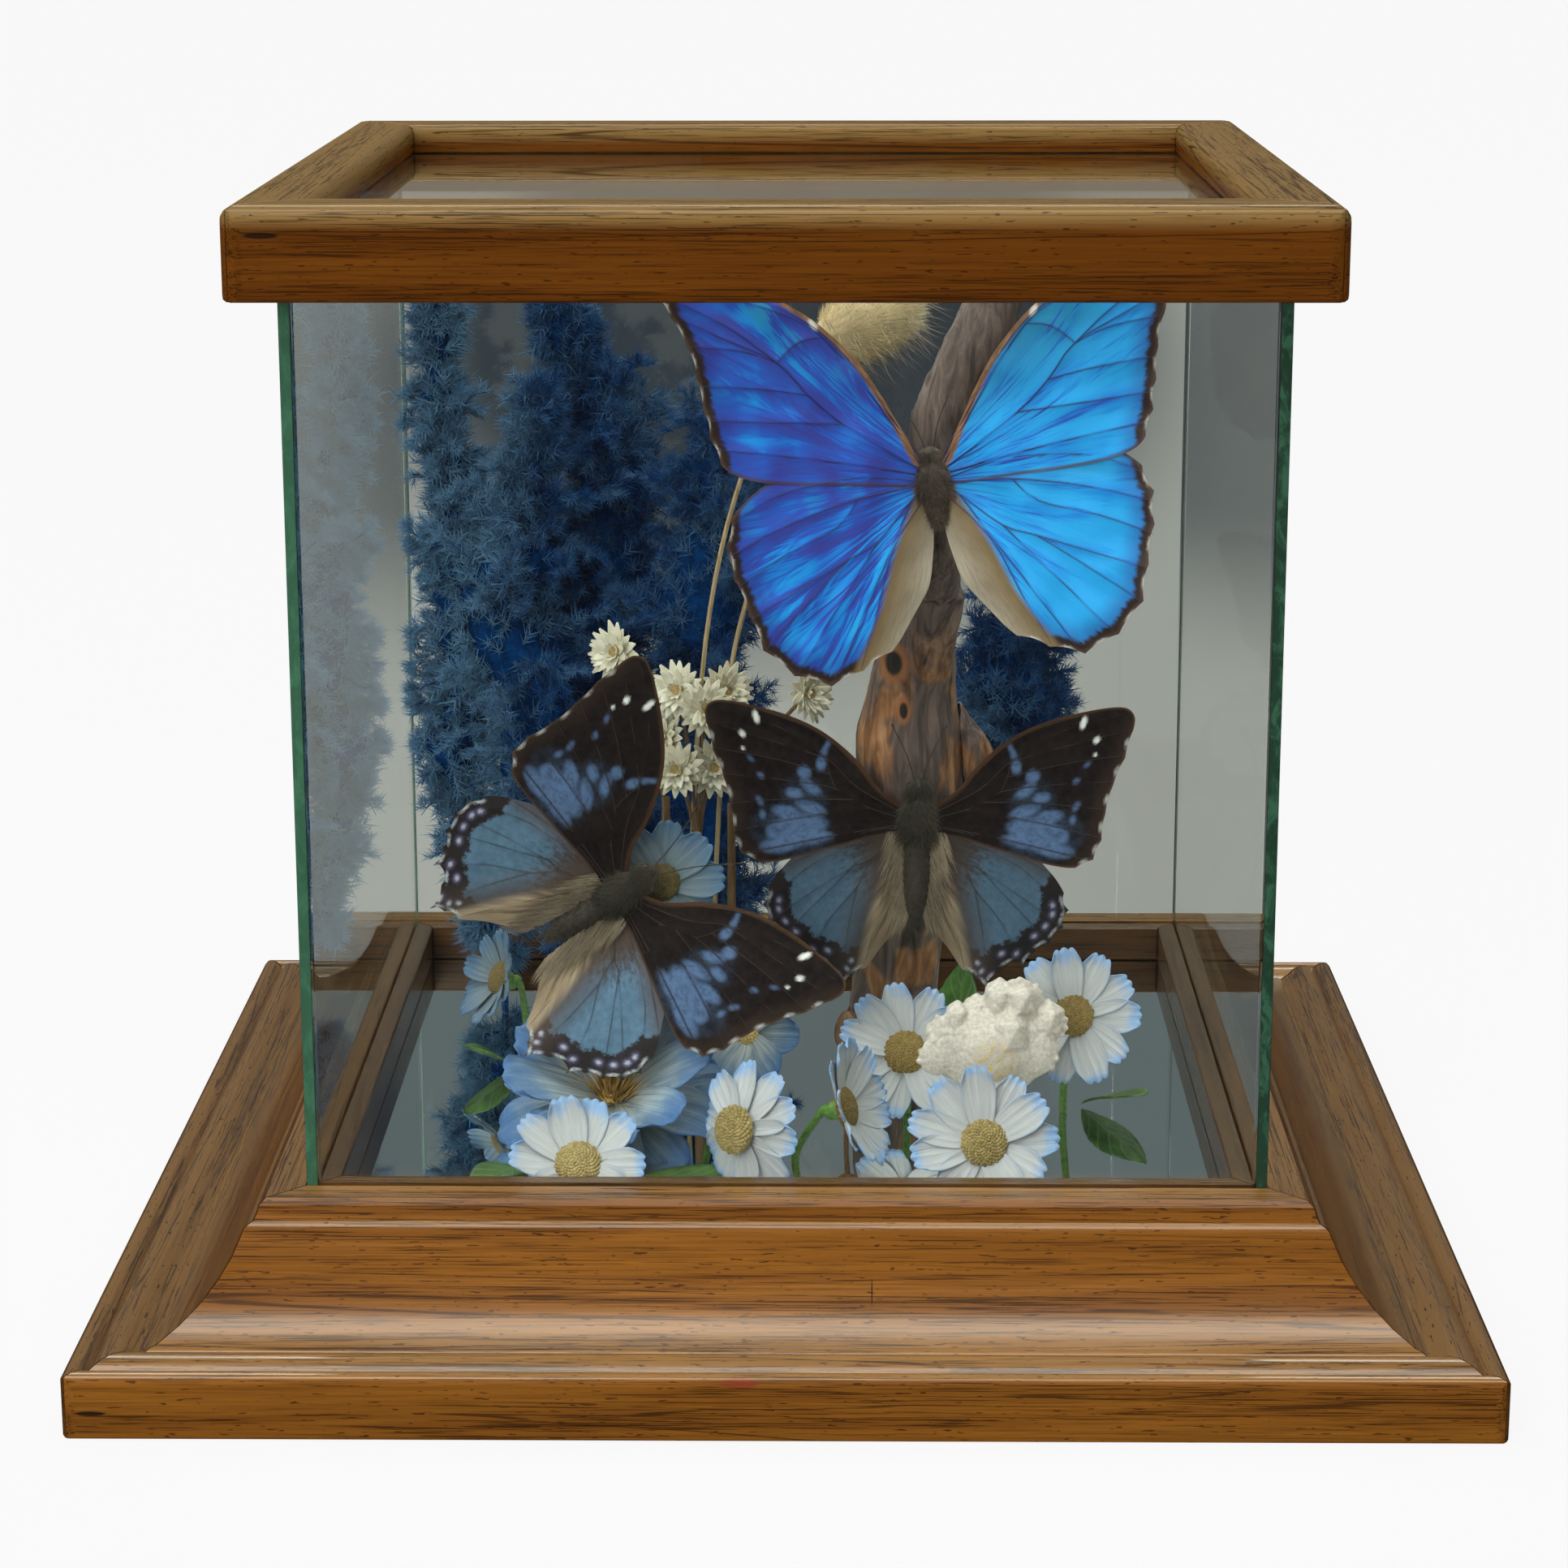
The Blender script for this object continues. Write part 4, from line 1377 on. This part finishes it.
def build_coral():
    """A low crown of flat lobes with scalloped rims and a yellow heart, on its stem."""
    r = Recipe("ivory_coral", Roughness=0.7, Subsurface_Weight=0.15)
    r.shader.inputs["Subsurface Radius"].default_value = (0.003, 0.0025, 0.002)
    pits = r.noise(r.place((1.3, 1.3, 1.3)), 3, 0.6)
    heart = r.add("VectorMath", "Value", {0: r.place(), 1: CORAL_HEART}, operation="DISTANCE")
    ivory = r.mix(r.fit(pits, 0.35, 0.65), (0.53, 0.465, 0.395), (0.66, 0.605, 0.535))
    yellow = r.math("MULTIPLY", r.fit(heart, 7, 3), r.fit(pits, 0.5, 0.6))
    r.finish(Base_Color=r.mix(yellow, ivory, (0.62, 0.44, 0.15)), Normal=r.bump(pits, 0.25, 0.5))
    rng = random.Random(8)
    bm = fair_copy("coral", 0)
    for vertex in bm.verts:
        vertex.co.x = (45 + 0.84 * (vertex.co.x / MM - 45)) * MM
    for x, y, z, size, scallops in CORAL_LOBES:
        middle = Matrix.Translation(Vector((x, y, z)) * MM)
        bmesh.ops.create_uvsphere(bm, u_segments=20, v_segments=12, radius=size * MM,
                                  matrix=middle @ Matrix.Diagonal((1, 0.42, 1, 1)))
        for k in range(scallops):
            turn = math.radians(-35 + 250 * k / scallops) + rng.uniform(-0.06, 0.06)
            rim = Vector((math.cos(turn), 0.12 * math.sin(3 * turn), math.sin(turn)))
            spot = rim * size * rng.uniform(0.9, 1.02)
            bmesh.ops.create_icosphere(bm, subdivisions=1, matrix=middle @ Matrix.Translation(spot * MM),
                                       radius=0.30 * MM * size ** 0.75 * rng.uniform(0.9, 1.2))
    bm = remeshed(bm, 0.36, 3)
    for vertex in bm.verts:
        spot = vertex.co / MM
        if spot.z > FLOOR + 1:
            near = noise.voronoi(spot * 0.62)[0][0]
            groove = abs(noise.noise(spot * 0.17))
            vertex.co += vertex.normal * (0.22 * (0.4 - near) - 1.4 * max(0, 0.12 - groove)) * MM
    piece("coral_crown", bm, [r.material], ["coral"])


def build_pod():
    shell = plain_grain("pod_shell", (0.07, 0.03, 0.012), (0.24, 0.12, 0.05), (0.9, 0.9, 0.12), 0.5, 0.5)
    bm = bmesh.new()
    for vertex in bmesh.ops.create_uvsphere(bm, u_segments=30, v_segments=18, radius=1)["verts"]:
        ribs = 1 + 0.07 * math.cos(5 * math.atan2(vertex.co.y, vertex.co.x))
        taper = 1 - 0.18 * vertex.co.z
        x, y = (3.3 * ribs * taper * c for c in (vertex.co.x, vertex.co.y))
        vertex.co = Vector((13.4 + x, -27 + y, 49.3 + 4.8 * vertex.co.z)) * MM
    add_tubes(bm, [[(13.4, -27, 46, 0.7), (13, -25, 38, 0.6), (13, -25, FLOOR, 0.6)],
                   [(13.4, -27, 53, 0.8), (13.6, -27, 55, 0.25)]], 1, 4)
    colour_new(bm, 0)
    piece("seed_pod_shell", bm, [shell], ["seed_pod"])


def leaf_green():
    r = Recipe("leaf_green", Roughness=0.45)
    across = r.math("ABSOLUTE", r.math("SUBTRACT", r.axis(r.uv(), "Y"), 0.5))
    slant = r.math("SUBTRACT", r.math("MULTIPLY", r.axis(r.uv(), "X"), 34.0), r.math("MULTIPLY", across, 22.0))
    veins = r.math("MAXIMUM", r.fit(r.math("SINE", slant), 0.75, 1.0), r.fit(across, 0.03, 0.0))
    blotch = r.noise(r.place((0.25, 0.25, 0.25)), 3, 0.6)
    green = r.ramp(blotch, (0.3, (0.018, 0.055, 0.010)), (0.7, (0.07, 0.17, 0.03)))
    green = r.mix(r.math("MULTIPLY", veins, 0.5), green, (0.16, 0.26, 0.07))
    return r.finish(Base_Color=green, Normal=r.bump(veins, 0.25, 0.6))


def build_leaves():
    """Leaves that lie and stand among the flowers."""
    green = leaf_green()
    for name, (foot, length, width, heading, rise) in LEAVES.items():
        lift = (0.3 + width * 0.5 * abs(math.sin(math.radians(rise)))) if rise > 45 else 0.45
        place = (Matrix.Translation(Vector((*foot, FLOOR + lift)) * MM)
                 @ Matrix.Rotation(math.radians(heading), 4, "Z")
                 @ Matrix.Rotation(math.radians(-rise), 4, "Y"))
        bm = sheet_mesh()
        for vertex in bmesh.ops.create_grid(bm, x_segments=22, y_segments=8, size=0.5, calc_uvs=True)["verts"]:
            t = vertex.co.x + 0.5
            s = vertex.co.y * 2
            half = width / 2 * math.sin(math.pi * min(0.985, 0.03 + 0.95 * t)) ** 0.85
            half *= 1 + 0.07 * abs(math.sin(9 * math.pi * t))
            z = 0.9 * abs(s) * math.sin(math.pi * t) + 0.25 * math.sin(7 * t + 2 * s)
            vertex.co = place @ (Vector((length * t, s * half, z + 0.2)) * MM)
        colour_new(bm, 0)
        thicken(piece(name + "_blade", bm, [green], [name]), 0.3)


# ---------------------------------------------------------------- stage

def floor_finish():
    """A pale studio floor; the case's glass and mirror see it as a dim grey room."""
    r = Recipe("studio_floor", Base_Color=(0.55, 0.55, 0.55), Roughness=0.9)
    metres = r.place((0.001, 0.001, 0.001))
    room = r.mix(r.fit(r.axis(metres, "X"), -0.35, 0.25), (0.54, 0.515, 0.485), (0.385, 0.37, 0.345))
    doorway = r.math("MULTIPLY", r.blot((-25, 2000, 0), (252, 1300, 1000)), 0.97)
    room = r.add("Emission", 0, {"Color": r.mix(doorway, room, (0.028, 0.036, 0.048))})
    pale = r.add("Emission", 0, {"Color": (1.0, 1.0, 1.0), "Strength": 1.0})
    dark = r.add("Emission", 0, {"Color": (0.03, 0.03, 0.03)})
    path = r.add("LightPath", "Is Camera Ray").node.outputs
    through = r.math("GREATER_THAN", path["Transmission Depth"], 2.5)
    shader = r.shader.outputs[0]
    for share, seen in ((r.math("MULTIPLY", path["Is Camera Ray"], 0.9), pale), (path["Is Glossy Ray"], dark),
                        (r.math("MULTIPLY", path["Is Transmission Ray"], through), room)):
        shader = r.add("MixShader", 0, {0: share, 1: shader, 2: seen})
    r.plug(r.tree.nodes["Material Output"].inputs["Surface"], shader)
    return r.material


def build_world():
    """Soft air all round, pale behind the case; glass and varnish see it as a dimmer room, warm low down."""
    world = bpy.data.worlds.new("studio_air")
    bpy.context.scene.world = world
    air = Nodes(world)
    plain = air.tree.nodes["Background"]
    air.plug(plain.inputs["Color"], (0.97, 0.98, 1.0))
    air.plug(plain.inputs["Strength"], 0.27)
    height = air.axis(air.add("TexCoord", "Generated"), "Z")
    band = air.ramp(height, (0.12, (0.25, 0.215, 0.165)), (0.24, (0.15, 0.165, 0.175)))
    dim = air.add("Background", 0, {"Color": band})
    back = air.add("Background", 0, {"Color": (0.93, 0.93, 0.93)})
    path = air.add("LightPath", "Is Camera Ray").node.outputs
    shader = plain.outputs[0]
    for share, seen in ((air.math("MAXIMUM", path["Is Transmission Ray"], path["Is Glossy Ray"]), dim),
                        (path["Is Camera Ray"], back)):
        shader = air.add("MixShader", 0, {0: share, 1: shader, 2: seen})
    air.plug(air.tree.nodes["World Output"].inputs["Surface"], shader)


def show(name, data):
    """An object of the studio, linked into the scene."""
    obj = bpy.data.objects.new(name, data)
    bpy.context.scene.collection.objects.link(obj)
    return obj


def softbox(name, spot, size, power):
    """A rectangular light that looks at the middle of the case."""
    light = bpy.data.lights.new(name, "AREA")
    light.shape = "RECTANGLE"
    light.size, light.size_y = size
    light.energy = power
    obj = show(name, light)
    obj.location = spot
    obj.rotation_euler = (Vector((0, 0, 0.12)) - Vector(spot)).to_track_quat("-Z", "Y").to_euler()
    return obj


def build_stage(settings):
    bm = bmesh.new()
    bmesh.ops.create_grid(bm, x_segments=4, y_segments=4, size=12)
    mesh = stored(bm, "studio_floor")
    mesh.materials.append(floor_finish())
    floor = show("studio_floor", mesh)
    build_world()
    sky = bpy.data.lights.new("overhead", "SUN")
    sky.energy = settings.key_strength
    sky.angle = math.radians(55)
    lamp = show("overhead", sky)
    lamp.rotation_euler = (math.radians(14), math.radians(-8), 0)
    lamp.visible_glossy = False
    fill = softbox("front_fill", (-0.9, -1.9, 0.9), (1.2, 0.8), settings.fill_power)
    fill.visible_glossy = False
    for name, spot, size, share in (("back_sheen", (-0.3, 1.60, 1.95), (3.4, 0.6), 1.4),
                                    ("high_sheen", (0, -0.28, 2.3), (2.8, 0.62), 1.0)):
        sheen = softbox(name, spot, size, share * settings.sheen_power)
        sheen.data.color = (0.96, 0.96, 0.85)
        sheen.visible_diffuse = False
        sheen.visible_transmission = False
    camera = bpy.data.cameras.new("camera")
    camera.sensor_width = 36
    camera.lens = settings.lens
    camera.clip_start = 0.01
    obj = show("camera", camera)
    axes = Matrix((CAMERA_RIGHT, CAMERA_UP, -CAMERA_FORWARD)).transposed().to_4x4()
    obj.matrix_world = Matrix.Translation(CAMERA_SPOT) @ axes
    bpy.context.scene.camera = obj
    bpy.context.scene.view_settings.view_transform = "Standard"


# ---------------------------------------------------------------- operators, panel and registration

class CASE_OT_rails(bpy.types.Operator):
    """Build the moulded oak base and the oak top frame"""
    bl_idname = "specimen_case.rails"
    bl_label = "Oak Rails"
    bl_options = {"REGISTER", "UNDO"}

    def execute(self, context):
        build_rails(context.scene.case_settings)
        return {"FINISHED"}


class CASE_OT_panes(bpy.types.Operator):
    """Build the glass panes and finish the mirror and the board"""
    bl_idname = "specimen_case.panes"
    bl_label = "Glass and Mirror"
    bl_options = {"REGISTER", "UNDO"}

    def execute(self, context):
        build_panes(context.scene.case_settings)
        return {"FINISHED"}


class CASE_OT_driftwood(bpy.types.Operator):
    """Build the driftwood"""
    bl_idname = "specimen_case.driftwood"
    bl_label = "Driftwood"
    bl_options = {"REGISTER", "UNDO"}

    def execute(self, context):
        build_driftwood()
        return {"FINISHED"}


class CASE_OT_morpho(bpy.types.Operator):
    """Build the large blue butterfly"""
    bl_idname = "specimen_case.morpho"
    bl_label = "Large Blue Butterfly"
    bl_options = {"REGISTER", "UNDO"}

    def execute(self, context):
        build_morpho(context.scene.specimen_settings)
        return {"FINISHED"}


class CASE_OT_charaxes(bpy.types.Operator):
    """Build the two dark butterflies with blue bands"""
    bl_idname = "specimen_case.charaxes"
    bl_label = "Dark Butterflies"
    bl_options = {"REGISTER", "UNDO"}

    def execute(self, context):
        build_charaxes(context.scene.specimen_settings)
        return {"FINISHED"}


class CASE_OT_daisies(bpy.types.Operator):
    """Build the white silk daisies"""
    bl_idname = "specimen_case.daisies"
    bl_label = "Daisies"
    bl_options = {"REGISTER", "UNDO"}

    def execute(self, context):
        build_daisies(context.scene.specimen_settings)
        return {"FINISHED"}


class CASE_OT_blue_flowers(bpy.types.Operator):
    """Build the large and the small blue flower"""
    bl_idname = "specimen_case.blue_flowers"
    bl_label = "Blue Flowers"
    bl_options = {"REGISTER", "UNDO"}

    def execute(self, context):
        build_blue_flowers()
        return {"FINISHED"}


class CASE_OT_star_sprays(bpy.types.Operator):
    """Build the dried star flowers on their stems"""
    bl_idname = "specimen_case.star_sprays"
    bl_label = "Star Flowers"
    bl_options = {"REGISTER", "UNDO"}

    def execute(self, context):
        build_star_sprays()
        return {"FINISHED"}


class CASE_OT_bunny_tails(bpy.types.Operator):
    """Build the two soft grass heads"""
    bl_idname = "specimen_case.bunny_tails"
    bl_label = "Grass Heads"
    bl_options = {"REGISTER", "UNDO"}

    def execute(self, context):
        build_bunny_tails()
        return {"FINISHED"}


class CASE_OT_plumes(bpy.types.Operator):
    """Build the dyed blue plumes"""
    bl_idname = "specimen_case.plumes"
    bl_label = "Blue Plumes"
    bl_options = {"REGISTER", "UNDO"}

    def execute(self, context):
        build_plumes(context.scene.specimen_settings)
        return {"FINISHED"}


class CASE_OT_coral(bpy.types.Operator):
    """Build the ivory coral piece"""
    bl_idname = "specimen_case.coral"
    bl_label = "Coral"
    bl_options = {"REGISTER", "UNDO"}

    def execute(self, context):
        build_coral()
        return {"FINISHED"}


class CASE_OT_greenery(bpy.types.Operator):
    """Build the seed pod and the leaves"""
    bl_idname = "specimen_case.greenery"
    bl_label = "Pod and Leaves"
    bl_options = {"REGISTER", "UNDO"}

    def execute(self, context):
        build_pod()
        build_leaves()
        return {"FINISHED"}


class CASE_OT_stage(bpy.types.Operator):
    """Set up the floor, the lights and the camera"""
    bl_idname = "specimen_case.stage"
    bl_label = "Stage"
    bl_options = {"REGISTER", "UNDO"}

    def execute(self, context):
        build_stage(context.scene.stage_settings)
        return {"FINISHED"}


OPERATORS = (CASE_OT_rails, CASE_OT_panes, CASE_OT_driftwood, CASE_OT_morpho, CASE_OT_charaxes,
             CASE_OT_daisies, CASE_OT_blue_flowers, CASE_OT_star_sprays, CASE_OT_bunny_tails, CASE_OT_plumes,
             CASE_OT_coral, CASE_OT_greenery, CASE_OT_stage)
SETTINGS = {"case_settings": CaseSettings, "specimen_settings": SpecimenSettings,
            "stage_settings": StageSettings}


class CASE_PT_panel(bpy.types.Panel):
    """The case's settings and its steps"""
    bl_label = "Butterfly Case"
    bl_space_type = "VIEW_3D"
    bl_region_type = "UI"
    bl_category = "Case"

    def draw(self, context):
        for name, group in SETTINGS.items():
            for prop in group.__annotations__:
                self.layout.prop(getattr(context.scene, name), prop)
        for step in OPERATORS:
            self.layout.operator(step.bl_idname)


def register():
    for cls in (*SETTINGS.values(), *OPERATORS, CASE_PT_panel):
        bpy.utils.register_class(cls)
    for name, group in SETTINGS.items():
        setattr(bpy.types.Scene, name, PointerProperty(type=group))


def unregister():
    for name in SETTINGS:
        delattr(bpy.types.Scene, name)
    for cls in reversed((*SETTINGS.values(), *OPERATORS, CASE_PT_panel)):
        bpy.utils.unregister_class(cls)


def main():
    register()
    for step in OPERATORS:
        group, name = step.bl_idname.split(".")
        getattr(getattr(bpy.ops, group), name)()


if __name__ == "__main__":
    main()
